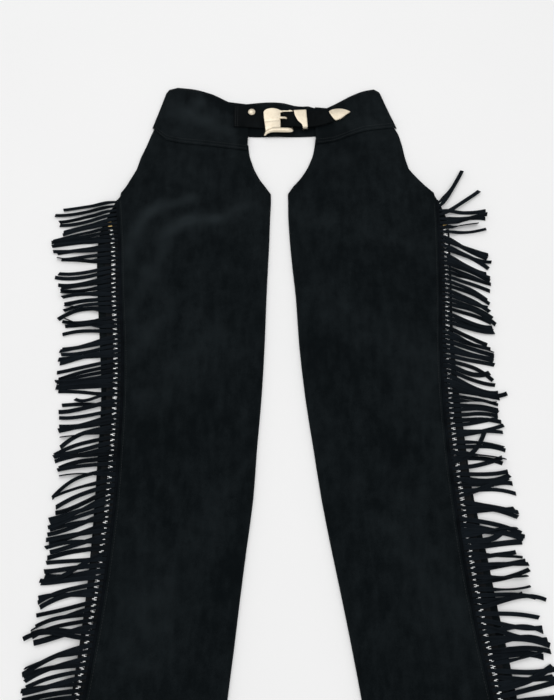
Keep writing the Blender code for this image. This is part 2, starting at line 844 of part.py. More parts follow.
def buckle_frame(collection, cutters, material):
    """The frame: an arched plate at the left, a thin far bar, a thick near bar and a heel bar."""
    outline = row_points(FRAME_COLUMNS, FRAME_OUTLINE)
    frame = raised_plate(
        "buckle_frame", collection, material, outline, BUCKLE_BOTTOM, BUCKLE_THICKNESS, 0.8 * MM
    )
    join_to(frame, buckle_lip(cutters, material))
    bar = bmesh.new()
    bmesh.ops.create_cone(
        bar,
        cap_ends=True,
        segments=12,
        radius1=HEEL_BAR_RADIUS,
        radius2=HEEL_BAR_RADIUS,
        depth=BUCKLE_OPENING + 5 * MM,
    )
    turn = Vector((0, 0, 1)).rotation_difference(Vector((0, 1, 0))).to_matrix()
    bmesh.ops.rotate(bar, verts=bar.verts, matrix=turn)
    bmesh.ops.translate(bar, verts=bar.verts, vec=(HEEL_BAR_X, BUCKLE_CENTRE_Y, HEEL_BAR_Z))
    join_to(frame, add_object("heel_bar", bar, cutters, material, smooth=False))
    return frame


def buckle_prong(collection, material):
    """The prong: a flat tongue curled round the heel bar, its tip resting on the plate."""
    radius = HEEL_BAR_RADIUS + SEAM_GAP + PRONG_THICKNESS / 2
    path = round_the_heel_bar(radius, 150, 10) + row_points(PRONG_COLUMNS, PRONG_TONGUE)
    half = PRONG_WIDTH / 2
    span = (PRONG_Y - half, PRONG_Y + half)
    return profile_strip("buckle_prong", collection, material, path, lambda x: span, PRONG_THICKNESS)


def belt_keeper(collection, material):
    """The keeper: a flat ring round both straps, its left side slanting."""
    middles = [row_value(KEEPER_COLUMNS, row, "from_middle") for row in KEEPER_ROWS]
    half_width = middles[-1]
    flat_y = half_width - KEEPER_CORNER
    flat_low = KEEPER_LOW + KEEPER_CORNER
    flat_high = KEEPER_HIGH - KEEPER_CORNER
    between = middles[1:-1]
    corners = [
        (flat_y, flat_high, 0, [(y, KEEPER_HIGH) for y in reversed(between)]),
        (-flat_y, flat_high, 90, []),
        (-flat_y, flat_low, 180, [(y, KEEPER_LOW) for y in between]),
        (flat_y, flat_low, 270, []),
    ]
    ring = []
    for y, z, start, flat in corners:
        for step in range(4):
            angle = math.radians(start + 30 * step)
            ring.append((y + KEEPER_CORNER * math.cos(angle), z + KEEPER_CORNER * math.sin(angle)))
        ring += flat

    def side_at(name, y):
        for low, high in zip(KEEPER_ROWS, KEEPER_ROWS[1:]):
            y0, y1 = (row_value(KEEPER_COLUMNS, row, "from_middle") for row in (low, high))
            if y <= y1 + SEAM_GAP:
                x0, x1 = (row_value(KEEPER_COLUMNS, row, name) for row in (low, high))
                return mix(x0, x1, (y - y0) / (y1 - y0))

    bm = bmesh.new()
    edges = {"left": [], "right": []}
    for name, verts in edges.items():
        for y, z in ring:
            x = side_at(name, y)
            tilted = KEEPER_MIDDLE[1] + y + KEEPER_TILT * (x - KEEPER_MIDDLE[0])
            verts.append(bm.verts.new((x, tilted, z)))
    lefts, rights = edges.values()
    for k in range(len(ring)):
        after = (k + 1) % len(ring)
        bm.faces.new((lefts[k], lefts[after], rights[after], rights[k]))
    bmesh.ops.recalc_face_normals(bm, faces=bm.faces)
    piece = add_object("belt_keeper", bm, collection, material)
    solidify = piece.modifiers.new("thickness", "SOLIDIFY")
    solidify.thickness = KEEPER_THICKNESS
    solidify.offset = 0.0
    return piece


def strap_tip(collection, material):
    """The metal tip: a pointed plate on the end of the billet."""
    outline = row_points(TIP_COLUMNS, TIP_OUTLINE)
    return raised_plate(
        "strap_tip", collection, material, outline, TIP_BOTTOM, TIP_THICKNESS, 1.2 * MM
    )


def rivet_cap(collection, material):
    """The domed cap of the rivet that holds the billet on the left front end."""
    bm = bmesh.new()
    radius = RIVET_DIAMETER / 2
    bmesh.ops.create_uvsphere(bm, u_segments=18, v_segments=10, radius=radius)
    bmesh.ops.bisect_plane(
        bm,
        geom=bm.verts[:] + bm.edges[:] + bm.faces[:],
        plane_co=(0, 0, 0),
        plane_no=(0, 0, 1),
        clear_inner=True,
    )
    bmesh.ops.holes_fill(bm, edges=[e for e in bm.edges if e.is_boundary], sides=0)
    bmesh.ops.scale(bm, verts=bm.verts, vec=(1, 1, 0.45))
    top_of_billet = row_value(BILLET_COLUMNS, BILLET_ROWS[0], "height") + STRAP_THICKNESS / 2
    bmesh.ops.translate(bm, verts=bm.verts, vec=(*RIVET_CENTRE, top_of_billet + SEAM_GAP))
    bmesh.ops.recalc_face_normals(bm, faces=bm.faces)
    return add_object("rivet_cap", bm, collection, material)


def zip_x(side, y):
    """The middle of the zip's chain."""
    outwards = -1 if side == "left" else 1
    flare = 4 * MM * smooth_step((y - 225 * MM) / (40 * MM)) if side == "left" else 0.0
    return leg_edge(side, "front_edge", y) + outwards * (ZIP_FROM_SEAM + flare)


def zip_stations(y_low, y_high):
    """The levels that every strip of the zip shares, so that they curve alike."""
    count = round((ZIP_TOP_Y - HEM_Y) / ZIP_STATION_STEP)
    shared = [HEM_Y + k * ZIP_STATION_STEP for k in range(1, count)]
    shared += [ZIP_STOP_Y, STOP_TOP_Y, CHAIN_BOTTOM_Y, ZIP_BOX_BOTTOM, ZIP_BOX_TOP]
    return [y_low] + sorted(y for y in shared if y_low < y < y_high) + [y_high]


def ribbon(name, collection, material, edges, levels, y_low, y_high, thickness):
    """A narrow strip along the leg between edges(y) = (x0, x1), at heights levels = (z0, z1)."""
    stations = zip_stations(y_low, y_high)
    rows = len(stations) - 1

    def place(u, v):
        y = stations[round(v * rows)]
        x0, x1 = edges(y)
        return mix(x0, x1, u), y, mix(levels[0], levels[1], u)

    return sheet(name, collection, material, place, evenly(1), rows, thickness, 0.0)


def side_zip(side, collection, tape_material, metal, brass, cutters):
    outwards = -1 if side == "left" else 1
    half_chain = ZIP_CHAIN_WIDTH / 2
    chain_middle = (ZIP_CHAIN_BOTTOM + ZIP_CHAIN_TOP) / 2
    tape_on_back = SUEDE + SEAM_GAP + ZIP_TAPE_THICKNESS / 2

    def chain_edges(y):
        middle = zip_x(side, y)
        return middle - outwards * half_chain, middle + outwards * half_chain

    def front_tape_edges(y):
        start, _ = chain_edges(y)
        return leg_edge(side, "front_edge", y) - outwards * 9 * MM, start - outwards * SEAM_GAP

    def back_tape_edges(y):
        _, end = chain_edges(y)
        wide = end + outwards * 10 * MM
        limit = leg_edge(side, "back_edge", y) - outwards * 0.6 * MM
        return end + outwards * SEAM_GAP, outwards * min(outwards * wide, outwards * limit)

    under_front = FRONT_HEIGHT - SUEDE / 2 - SEAM_GAP - ZIP_TAPE_THICKNESS / 2
    chain_thickness = ZIP_CHAIN_TOP - ZIP_CHAIN_BOTTOM
    front_levels = (under_front, chain_middle)
    back_levels = (tape_on_back, tape_on_back)
    chain_levels = (chain_middle, chain_middle)
    strips = [
        ("zip_tape_front", tape_material, front_tape_edges, front_levels, HEM_Y, ZIP_TOP_Y),
        ("zip_tape_back", tape_material, back_tape_edges, back_levels, HEM_Y, ZIP_TOP_Y),
        ("zip_chain", metal, chain_edges, chain_levels, CHAIN_BOTTOM_Y, ZIP_BOX_BOTTOM - SEAM_GAP),
        ("zip_stop", metal, chain_edges, chain_levels, ZIP_STOP_Y, STOP_TOP_Y),
        ("zip_box", brass, chain_edges, chain_levels, ZIP_BOX_BOTTOM, ZIP_BOX_TOP),
    ]
    for name, material, edges, levels, y_low, y_high in strips:
        thickness = ZIP_TAPE_THICKNESS if material is tape_material else chain_thickness
        ribbon(f"{name}_{side}", collection, material, edges, levels, y_low, y_high, thickness)
    zip_slider(side, collection, metal, cutters)
    zip_pull(side, collection, metal)


def slider_frame(side):
    """The middle of the slider in plan, and the directions across and down the chain."""
    middle = Vector((zip_x(side, SLIDER_Y), SLIDER_Y))
    below = Vector((zip_x(side, SLIDER_Y - 20 * MM), SLIDER_Y - 20 * MM))
    down = (below - middle).normalized()
    across = Vector((-down.y, down.x))
    return middle, across, down


def slider_point(side, across_by, down_by, z):
    middle, across, down = slider_frame(side)
    place = middle + across * across_by + down * down_by
    return place.x, place.y, z


def block(side, bm, across, down, z):
    """A box in the slider's frame, from its (low, high) extents."""
    corners = []
    for height in z:
        for a, d in ((0, 0), (1, 0), (1, 1), (0, 1)):
            corners.append(bm.verts.new(slider_point(side, across[a], down[d], height)))
    faces = [(0, 1, 2, 3), (4, 5, 6, 7)] + [(k, (k + 1) % 4, 4 + (k + 1) % 4, 4 + k) for k in range(4)]
    return [bm.faces.new([corners[k] for k in face]) for face in faces]


def zip_slider(side, collection, metal, cutters):
    """The slider: a body over the chain, and a bridge under which the pull's rod turns."""
    half = SLIDER_WIDTH / 2
    reach = SLIDER_LENGTH / 2
    bm = bmesh.new()
    block(side, bm, (-half, half), (-reach, reach), (SLIDER_SKIRT, SLIDER_TOP))
    bmesh.ops.recalc_face_normals(bm, faces=bm.faces)
    body = add_object(f"zip_slider_{side}", bm, collection, metal, smooth=False)
    bevel = body.modifiers.new("soft edges", "BEVEL")
    bevel.width = 1.0 * MM
    bevel.segments = 2
    in_chain = ZIP_CHAIN_WIDTH / 2 - 2 * SEAM_GAP
    joined = {
        "wedge": ((-in_chain, in_chain), (-reach + MM, reach - MM), (ZIP_CHAIN_BOTTOM, SLIDER_TOP - MM)),
        "bridge": (
            (-BRIDGE_HALF_WIDTH, BRIDGE_HALF_WIDTH),
            (-BRIDGE_REACH, BRIDGE_REACH),
            (SLIDER_TOP - MM, BRIDGE_TOP),
        ),
    }
    for name, (across, down, z) in joined.items():
        bm = bmesh.new()
        block(side, bm, across, down, z)
        bmesh.ops.recalc_face_normals(bm, faces=bm.faces)
        join_to(body, add_object(f"slider_{name}_{side}", bm, cutters, metal, smooth=False))
    window = bmesh.new()
    half_window = PULL_ROD_RADIUS + 0.4 * MM
    low = PULL_AXIS_Z - half_window
    high = PULL_AXIS_Z + half_window
    block(side, window, (-half, half), (-half_window - SEAM_GAP, half_window + SEAM_GAP), (low, high))
    bmesh.ops.recalc_face_normals(window, faces=window.faces)
    cut_from(body, add_object(f"bridge_window_cutter_{side}", window, cutters, metal, smooth=False))


def zip_pull(side, collection, metal):
    """The pull: a flat tab with two arms and a rod that turns under the slider's bridge.

    Its origin lies on the rod's axis.
    """
    axis_point = Vector(slider_point(side, 0.0, 0.0, PULL_AXIS_Z))
    knots_across = [-PULL_HALF_WIDTH, -PULL_ARM_INNER, PULL_ARM_INNER, PULL_HALF_WIDTH]
    knots_down = [-PULL_ROD_RADIUS, PULL_ROD_RADIUS, PULL_TAB_START, PULL_LENGTH]
    gap_between_arms = (1, 1)
    bm = bmesh.new()
    grid = {}
    for layer, rise in enumerate((-PULL_HALF_THICKNESS, PULL_HALF_THICKNESS)):
        for i, across in enumerate(knots_across):
            for j, down in enumerate(knots_down):
                place = Vector(slider_point(side, across, down, PULL_AXIS_Z + rise))
                grid[layer, i, j] = bm.verts.new(place - axis_point)
    solid = {(i, j) for i in range(3) for j in range(3)} - {gap_between_arms}
    for i, j in solid:
        for layer in (0, 1):
            ring = [(i, j), (i + 1, j), (i + 1, j + 1), (i, j + 1)]
            bm.faces.new([grid[layer, a, b] for a, b in ring])
        sides = {
            (i - 1, j): ((i, j), (i, j + 1)),
            (i + 1, j): ((i + 1, j), (i + 1, j + 1)),
            (i, j - 1): ((i, j), (i + 1, j)),
            (i, j + 1): ((i, j + 1), (i + 1, j + 1)),
        }
        for neighbour, (a, b) in sides.items():
            if neighbour not in solid:
                bm.faces.new((grid[0, *a], grid[0, *b], grid[1, *b], grid[1, *a]))
    bmesh.ops.recalc_face_normals(bm, faces=bm.faces)
    pull = add_object(f"zip_pull_{side}", bm, collection, metal, smooth=False)
    pull.location = axis_point
    return pull


def fringe_strands(side):
    """Each strand as (root_y, tip_y, reach), from the hip down."""
    strands = []
    root_y = FRINGE_TOP_Y
    last_tips = (math.inf, math.inf)
    for row in LOCKS[side]:
        lock = dict(zip(LOCK_COLUMNS, row))
        count = lock["strands"]
        middle = root_y - FRINGE_PITCH * (count - 1) / 2
        for k in range(count):
            spread = ((count - 1) / 2 - k) * FRINGE_PITCH * lock["closeness"]
            tip_y = middle + lock["towards_waist"] * MM + spread
            past_same_layer = last_tips[0] - STRAND_WIDTH - STRAND_GAP
            tip_y = min(tip_y, past_same_layer, last_tips[1] - LEAST_TIP_STEP)
            strands.append((root_y, tip_y, lock["reach"] * MM))
            last_tips = (last_tips[1], tip_y)
            root_y -= FRINGE_PITCH
    return strands


def strip_edges(side, y):
    """The fringe strip's inner and outer edge, just outside the front panel."""
    outwards = -1 if side == "left" else 1
    start = leg_edge(side, "front_edge", y) + outwards * SEAM_GAP
    return start, start + outwards * STRIP_WIDTH


def fringe_on(side, collection, material):
    """A fringe: one narrow strip whose outer face carries every strand."""
    outwards = -1 if side == "left" else 1
    strands = fringe_strands(side)
    half_width = STRAND_WIDTH / 2
    half = STRAND_THICKNESS / 2
    levels = (ROOT_HEIGHT - half, ROOT_HEIGHT + half)
    strands_per_panel = 4
    bm = bmesh.new()

    def vert(x, y, z):
        return bm.verts.new((x, y, z))

    def pair(edge, y):
        x = strip_edges(side, y)[edge]
        return [vert(x, y, z) for z in levels]

    top_y = strands[0][0] + FRINGE_PITCH / 2
    end_y = strands[-1][0] - FRINGE_PITCH / 2
    outer = [pair(1, top_y)]
    inner = [pair(0, top_y)]
    panels = []
    first = 0
    for index, strand in enumerate(strands):
        root_y = strand[0]
        ring = [pair(1, root_y + half_width), pair(1, root_y - half_width)]
        outer += ring
        grow_strand(bm, ring, strand, "upper" if index % 2 else "lower", side)
        last_strand = index == len(strands) - 1
        if last_strand:
            outer.append(pair(1, end_y))
        if last_strand or index % strands_per_panel == strands_per_panel - 1:
            y = end_y if last_strand else root_y - half_width
            inner.append(pair(0, y))
            panels.append((first, len(outer) - 1))
            first = len(outer) - 1
    for k in range(0, len(outer) - 1, 2):
        a, b = outer[k], outer[k + 1]
        bm.faces.new((a[0], b[0], b[1], a[1]))
    for number, (start, stop) in enumerate(panels):
        a, b = inner[number], inner[number + 1]
        bm.faces.new((a[0], b[0], b[1], a[1]))
        for layer in (0, 1):
            edge = [outer[k][layer] for k in range(start, stop + 1)]
            bm.faces.new(edge + [b[layer], a[layer]])
    for end in (0, -1):
        a, b = inner[end], outer[end]
        bm.faces.new((a[0], b[0], b[1], a[1]))
    bmesh.ops.recalc_face_normals(bm, faces=bm.faces)
    return add_object(f"fringe_{side}", bm, collection, material)


def grow_strand(bm, root_ring, strand, layer, side):
    """One strand: a run of upright sections out from its root ring on the strip."""
    root_y, tip_y, reach = strand
    outwards = -1 if side == "left" else 1
    half_width = STRAND_WIDTH / 2
    half = STRAND_THICKNESS / 2
    root_x = strip_edges(side, root_y)[1]
    (a0, a1), (b0, b1) = root_ring
    before = [a0, b0, b1, a1]
    for row in STRAND_PATH:
        step = dict(zip(STRAND_COLUMNS, row))
        x = root_x + outwards * mix(CLEAR_OF_ZIP, reach, step["share"])
        y = mix(root_y, tip_y, step["lean"])
        height = step[layer] * MM
        corners = [
            (x, y + half_width, height - half),
            (x, y - half_width, height - half),
            (x, y - half_width, height + half),
            (x, y + half_width, height + half),
        ]
        after = [bm.verts.new(corner) for corner in corners]
        for k in range(4):
            bm.faces.new((before[k], before[(k + 1) % 4], after[(k + 1) % 4], after[k]))
        before = after
    bm.faces.new(before)


def centre_on_floor(collection):
    """Moves every piece so that the middle of the whole box is at x = y = 0."""
    bpy.context.view_layer.update()
    depsgraph = bpy.context.evaluated_depsgraph_get()
    corners = []
    for piece in collection.objects:
        evaluated = piece.evaluated_get(depsgraph)
        mesh = evaluated.to_mesh()
        corners += [piece.matrix_world @ vert.co for vert in mesh.vertices]
        evaluated.to_mesh_clear()
    shift_x = (min(c.x for c in corners) + max(c.x for c in corners)) / 2
    shift_y = (min(c.y for c in corners) + max(c.y for c in corners)) / 2
    for piece in bpy.data.objects:
        piece.location.x -= shift_x
        piece.location.y -= shift_y


def clear_scene():
    for piece in list(bpy.data.objects):
        bpy.data.objects.remove(piece, do_unlink=True)


def build_chaps():
    clear_scene()
    chaps = bpy.data.collections.new("leather_chaps")
    cutters = bpy.data.collections.new("cutters")
    bpy.context.scene.collection.children.link(chaps)
    bpy.context.scene.collection.children.link(cutters)
    suede = plain_material("black_suede", BLACK_SUEDE, 0.95)
    fringe_suede = plain_material("fringe_suede", BLACK_SUEDE, 0.9)
    strap_leather = plain_material("strap_leather", BLACK_STRAP, 0.7)
    tape = plain_material("zip_tape", BLACK_TAPE, 0.85)
    nickel = metal_material("nickel", NICKEL, 0.22)
    brass = metal_material("brass", BRASS, 0.3)
    zip_metal = metal_material("zip_metal", ZIP_METAL, 0.3)
    for side in ("left", "right"):
        leg_front(side, chaps, suede)
        leg_back(side, chaps, suede)
        yoke_front(side, chaps, suede)
        side_zip(side, chaps, tape, zip_metal, brass, cutters)
        fringe_on(side, chaps, fringe_suede)
    yoke_back(chaps, suede)
    billet(chaps, cutters, strap_leather)
    chape(chaps, cutters, strap_leather)
    buckle_frame(chaps, cutters, nickel)
    buckle_prong(chaps, nickel)
    belt_keeper(chaps, nickel)
    strap_tip(chaps, nickel)
    rivet_cap(chaps, nickel)
    centre_on_floor(chaps)


build_chaps()
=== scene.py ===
"""Fringed suede chaps laid flat on a pale surface, front side up, with the waist to +Y."""

import math
import random

import bmesh
import bpy
from mathutils import Euler, Matrix, Vector, noise
from mathutils.bvhtree import BVHTree


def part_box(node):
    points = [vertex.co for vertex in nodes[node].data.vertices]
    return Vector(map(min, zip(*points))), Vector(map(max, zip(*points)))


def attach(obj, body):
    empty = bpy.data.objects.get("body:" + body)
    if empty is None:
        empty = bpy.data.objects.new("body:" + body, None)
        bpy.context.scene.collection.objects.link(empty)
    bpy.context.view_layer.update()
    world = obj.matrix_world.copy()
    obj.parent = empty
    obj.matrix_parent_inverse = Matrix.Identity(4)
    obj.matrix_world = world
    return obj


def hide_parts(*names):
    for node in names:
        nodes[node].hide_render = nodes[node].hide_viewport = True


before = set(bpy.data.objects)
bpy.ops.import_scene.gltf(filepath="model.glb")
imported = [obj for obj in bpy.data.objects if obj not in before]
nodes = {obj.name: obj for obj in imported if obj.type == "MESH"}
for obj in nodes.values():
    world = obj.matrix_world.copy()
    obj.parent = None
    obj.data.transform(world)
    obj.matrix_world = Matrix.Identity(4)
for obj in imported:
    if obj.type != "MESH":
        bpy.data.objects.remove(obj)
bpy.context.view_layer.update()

# The surface, the light and the camera
# A plain pale floor under a broad, soft light. The camera looks down on the chaps from the hem
# side, a little over a metre up, so that the waist is the far end.
MM = 0.001

# Places in plan are given in mm as they were measured on the photo's ground plane. The solids
# were drawn there too and then centred on the floor, and the rivet's cap shows by how much.
cap_low, cap_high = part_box("rivet_cap")
drawing = Vector(((cap_low.x + cap_high.x) / 2, (cap_low.y + cap_high.y) / 2, 0))
drawing -= Vector((-41.7, 478.0, 0)) * MM
bpy.context.scene.view_settings.view_transform = "Standard"


def new_material(slot, roughness, metallic=0.0):
    """The finish for one of the record's material slots, with its node tree and shader."""
    material = bpy.data.materials.new(f"{slot}_finish")
    material.use_nodes = True
    tree = material.node_tree
    shader = tree.nodes["Principled BSDF"]
    shader.inputs["Roughness"].default_value = roughness
    shader.inputs["Metallic"].default_value = metallic
    return material, tree, shader


def add_node(tree, kind, settings=(), links=()):
    """A node with its settings by name, and its inputs linked from other nodes' outputs."""
    made = tree.nodes.new(kind)
    for name, value in dict(settings).items():
        if name in made.inputs:
            made.inputs[name].default_value = value
        else:
            setattr(made, name, value)
    for name, output in dict(links).items():
        tree.links.new(output, made.inputs[name])
    return made


def object_place(tree, scale=(1, 1, 1), turn=0.0):
    """The object's own coordinates in metres, stretched and turned about Z."""
    place = add_node(tree, "ShaderNodeTexCoord")
    mapping = add_node(tree, "ShaderNodeMapping", links={"Vector": place.outputs["Object"]})
    mapping.inputs["Scale"].default_value = scale
    mapping.inputs["Rotation"].default_value = (0, 0, turn)
    return mapping.outputs["Vector"]


def noise_at(tree, place, scale, detail=3.0, roughness=0.5, distortion=0.0):
    """Soft noise with this many patches to the metre."""
    settings = {"Scale": scale, "Detail": detail, "Roughness": roughness, "Distortion": distortion}
    return add_node(tree, "ShaderNodeTexNoise", settings, {"Vector": place}).outputs["Fac"]


def weighted_sum(tree, parts):
    """The sum of each output times its weight."""
    total = None
    for output, weight in parts:
        term = add_node(tree, "ShaderNodeMath", {"operation": "MULTIPLY"}, {0: output})
        term.inputs[1].default_value = weight
        if total is None:
            total = term.outputs[0]
        else:
            total = add_node(
                tree, "ShaderNodeMath", {"operation": "ADD"}, {0: total, 1: term.outputs[0]}
            ).outputs[0]
    return total


def colours_by(tree, shader, factor, stops):
    """Colours the shader by a ramp of (place, colour) stops."""
    ramp = add_node(tree, "ShaderNodeValToRGB", links={"Fac": factor})
    elements = ramp.color_ramp.elements
    while len(elements) < len(stops):
        elements.new(0.5)
    for element, (place, colour) in zip(elements, stops):
        element.position = place
        element.color = (*colour, 1.0)
    tree.links.new(ramp.outputs["Color"], shader.inputs["Base Color"])


def bump_by(tree, shader, height, depth):
    """Roughens the surface by this height, from 0 to the depth in metres."""
    settings = {"Strength": 1.0, "Distance": depth}
    bump = add_node(tree, "ShaderNodeBump", settings, {"Height": height})
    tree.links.new(bump.outputs["Normal"], shader.inputs["Normal"])


FLOOR_HALF_WIDTH = 6.0
FLOOR_DEPTH = 0.3 * MM
floor_mesh = bmesh.new()
bmesh.ops.create_grid(floor_mesh, x_segments=1, y_segments=1, size=FLOOR_HALF_WIDTH)
bmesh.ops.translate(floor_mesh, verts=floor_mesh.verts, vec=(0, 0, -FLOOR_DEPTH))
floor = bpy.data.objects.new("floor", bpy.data.meshes.new("floor"))
floor_mesh.to_mesh(floor.data)
floor_mesh.free()
bpy.context.scene.collection.objects.link(floor)
floor_paint, tree, shader = new_material("pale_floor", 0.7)
speckle = noise_at(tree, object_place(tree), 2.2, detail=4.0)
colours_by(tree, shader, speckle, [(0.3, (0.885, 0.885, 0.885)), (0.7, (0.900, 0.900, 0.900))])
shader.inputs["Specular IOR Level"].default_value = 0.1
floor.data.materials.append(floor_paint)

world = bpy.data.worlds.new("studio")
bpy.context.scene.world = world
world.use_nodes = True
world.node_tree.nodes["Background"].inputs["Color"].default_value = (1.0, 1.0, 1.0, 1.0)
world.node_tree.nodes["Background"].inputs["Strength"].default_value = 0.83

for name, place, size, watts in (
    ("soft_box_over_waist", (-0.5, 1.5, 2.6), 2.4, 13.0),
    ("soft_box_over_hem", (0.9, -1.6, 2.8), 2.6, 9.0),
):
    light = bpy.data.lights.new(name, "AREA")
    light.shape = "DISK"
    light.size = size
    light.energy = watts
    lamp = bpy.data.objects.new(name, light)
    lamp.location = place
    lamp.rotation_euler = (-Vector(place)).to_track_quat("-Z", "Y").to_euler()
    bpy.context.scene.collection.objects.link(lamp)

camera = bpy.data.objects.new("camera", bpy.data.cameras.new("camera"))
camera.data.lens = 41.143
camera.data.sensor_width = 36.0
camera.location = drawing + Vector((1.7, -404.0, 1133.4)) * MM
camera.rotation_euler = (math.radians(21.49), 0, 0)
bpy.context.scene.collection.objects.link(camera)
bpy.context.scene.camera = camera

# Back panels of the legs
# Each is one piece of black suede cut flat, its flap showing outside the side zip. It lies on
# the surface under the front panel, and is sewn to the back yoke and along the inseam.
SIDES = {"left": -1, "right": 1}


def copy_of(node):
    """The node's own mesh, with its loose triangles joined into quads."""
    bm = bmesh.new()
    bm.from_mesh(nodes[node].data)
    bmesh.ops.remove_doubles(bm, verts=bm.verts, dist=0.01 * MM)
    bmesh.ops.join_triangles(
        bm,
        faces=bm.faces,
        angle_face_threshold=math.radians(4),
        angle_shape_threshold=math.radians(70),
    )
    return bm


def divide(bm, longest):
    """Halves the edges that are longer than this, up to six times."""
    for _ in range(6):
        long_edges = [edge for edge in bm.edges if edge.calc_length() > longest]
        if not long_edges:
            return
        bmesh.ops.subdivide_edges(bm, edges=long_edges, cuts=1, use_grid_fill=True)


def ease_outline(bm, times, widest_bend=20):
    """Eases the slight corners that the coarse solid leaves along cut edges. True corners stay."""
    near = {}
    for edge in bm.edges:
        if len(edge.link_faces) == 2 and edge.calc_face_angle(0.0) > math.radians(50):
            for vert in edge.verts:
                near.setdefault(vert, []).append(edge.other_vert(vert))
    for _ in range(times):
        eased_places = {}
        for vert, others in near.items():
            if len(others) == 2:
                a, b = (other.co - vert.co for other in others)
                if math.pi - a.angle(b, 0.0) < math.radians(widest_bend):
                    eased_places[vert] = vert.co + (a + b) / 4
        for vert, place in eased_places.items():
            vert.co = place


def add_piece(name, bm, material, replaces=(), body="garment", sharp=40):
    """A finished piece at the origin, riding on its body and standing for its nodes."""
    mesh = bpy.data.meshes.new(name)
    bm.to_mesh(mesh)
    bm.free()
    mesh.materials.append(material)
    mesh.shade_smooth()
    mesh.set_sharp_from_angle(angle=math.radians(sharp))
    piece = bpy.data.objects.new(name, mesh)
    bpy.context.scene.collection.objects.link(piece)
    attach(piece, body)
    if replaces:
        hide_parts(*replaces)
    return piece


def suede(name, dark, light, gloss, fibre_depth):
    """Suede: short fibre, a mottled nap, and paler marks where the point's attribute says: pale nap, and
    painted highlights along creases and the fringe strands' edges.
    """
    material, tree, shader = new_material(name, 0.92)
    place = object_place(tree)
    brushed = object_place(tree, scale=(70, 22, 22), turn=math.radians(24))
    nap_and_highlight = add_node(tree, "ShaderNodeAttribute", {"attribute_name": "nap_and_highlight"})
    fibre = noise_at(tree, place, 1500, detail=2.0)
    factor = weighted_sum(
        tree,
        [
            (noise_at(tree, place, 7, detail=3.0, distortion=0.6), 0.20),
            (noise_at(tree, place, 48, detail=6.0, roughness=0.65), 0.24),
            (noise_at(tree, brushed, 1.0, detail=5.0, roughness=0.6), 0.26),
            (fibre, 0.30),
            (nap_and_highlight.outputs["Fac"], 0.5),
        ],
    )
    middle = tuple((a + b) / 2 for a, b in zip(dark, light))
    colours_by(tree, shader, factor, [(0.44, dark), (0.60, middle), (0.92, light)])
    height = weighted_sum(tree, [(fibre, 0.6), (noise_at(tree, place, 420, detail=4.0), 0.4)])
    bump_by(tree, shader, height, fibre_depth)
    shader.inputs["Specular IOR Level"].default_value = gloss
    shader.inputs["Sheen Weight"].default_value = 0.02
    shader.inputs["Sheen Roughness"].default_value = 0.5
    shader.inputs["Sheen Tint"].default_value = (0.62, 0.74, 0.80, 1.0)
    return material


black_suede = suede("black_suede", (0.0022, 0.0036, 0.0044), (0.0128, 0.0172, 0.0194), 0.04, 0.4 * MM)


def bump_along(x, y, line):
    """How strong a line's mark is here. A line is (x0, y0, x1, y1, width, strength), in mm."""
    x0, y0, x1, y1, width = (value * MM for value in line[:5])
    strength = line[5]
    x -= drawing.x
    y -= drawing.y
    length = math.hypot(x1 - x0, y1 - y0)
    along = ((x - x0) * (x1 - x0) + (y - y0) * (y1 - y0)) / length
    across = ((x - x0) * (y1 - y0) - (y - y0) * (x1 - x0)) / length
    past_end = max(0.0, -along, along - length)
    return strength * math.exp(-((across / width) ** 2) - (past_end / (2 * width)) ** 2)


def mark_nap_and_highlight(bm, marks):
    """Stores on each point how far its nap is brushed pale, or painted pale as a highlight where a mark
    runs along a crease's ridge; patchy along each mark.
    """
    nap_and_highlight = bm.verts.layers.float.new("nap_and_highlight")
    for vert in bm.verts:
        patchy = 0.85 + 0.9 * noise.noise(vert.co * 38)
        vert[nap_and_highlight] = patchy * sum(bump_along(vert.co.x, vert.co.y, mark) for mark in marks)


SUEDE_THICKNESS = 1.6 * MM
BACK_WAVES = 0.12 * MM
for side in SIDES:
    bm = copy_of(f"leg_back_{side}")
    divide(bm, 12 * MM)
    ease_outline(bm, 4)
    for vert in bm.verts:
        if vert.co.z > SUEDE_THICKNESS / 2:
            vert.co.z += BACK_WAVES * noise.noise(vert.co * 40)
    mark_nap_and_highlight(bm, [])
    panel = add_piece(f"back_panel_{side}", bm, black_suede, [f"leg_back_{side}"])

# Side zips
# A heavy metal zip runs down each outer leg from a brass box at the hip to the hem. Its woven
# black tapes are sewn to the back panel's flap and under the front panel's edge.
TOOTH_PITCH = 3.1 * MM
TOOTH = (4.2 * MM, 1.9 * MM, 2.3 * MM)
TOOTH_NOSE = (1, 0.8, 0.8)
TOOTH_OFFSET = 1.25 * MM
TAPE_WIDTHS = {"front": 20 * MM, "back": 13 * MM}


def woven_tape():
    """Cotton and polyester tape with a fine herringbone across it."""
    material, tree, shader = new_material("zip_tape", 0.85)
    place = object_place(tree, turn=math.radians(45))
    waves = add_node(tree, "ShaderNodeTexWave", {"Scale": 420, "Distortion": 1.0}, {"Vector": place})
    grain = noise_at(tree, place, 900, detail=2.0)
    factor = weighted_sum(tree, [(waves.outputs["Fac"], 0.6), (grain, 0.4)])
    colours_by(tree, shader, factor, [(0.2, (0.003, 0.0035, 0.004)), (0.9, (0.012, 0.0135, 0.015))])
    bump_by(tree, shader, factor, 0.2 * MM)
    shader.inputs["Specular IOR Level"].default_value = 0.15
    return material


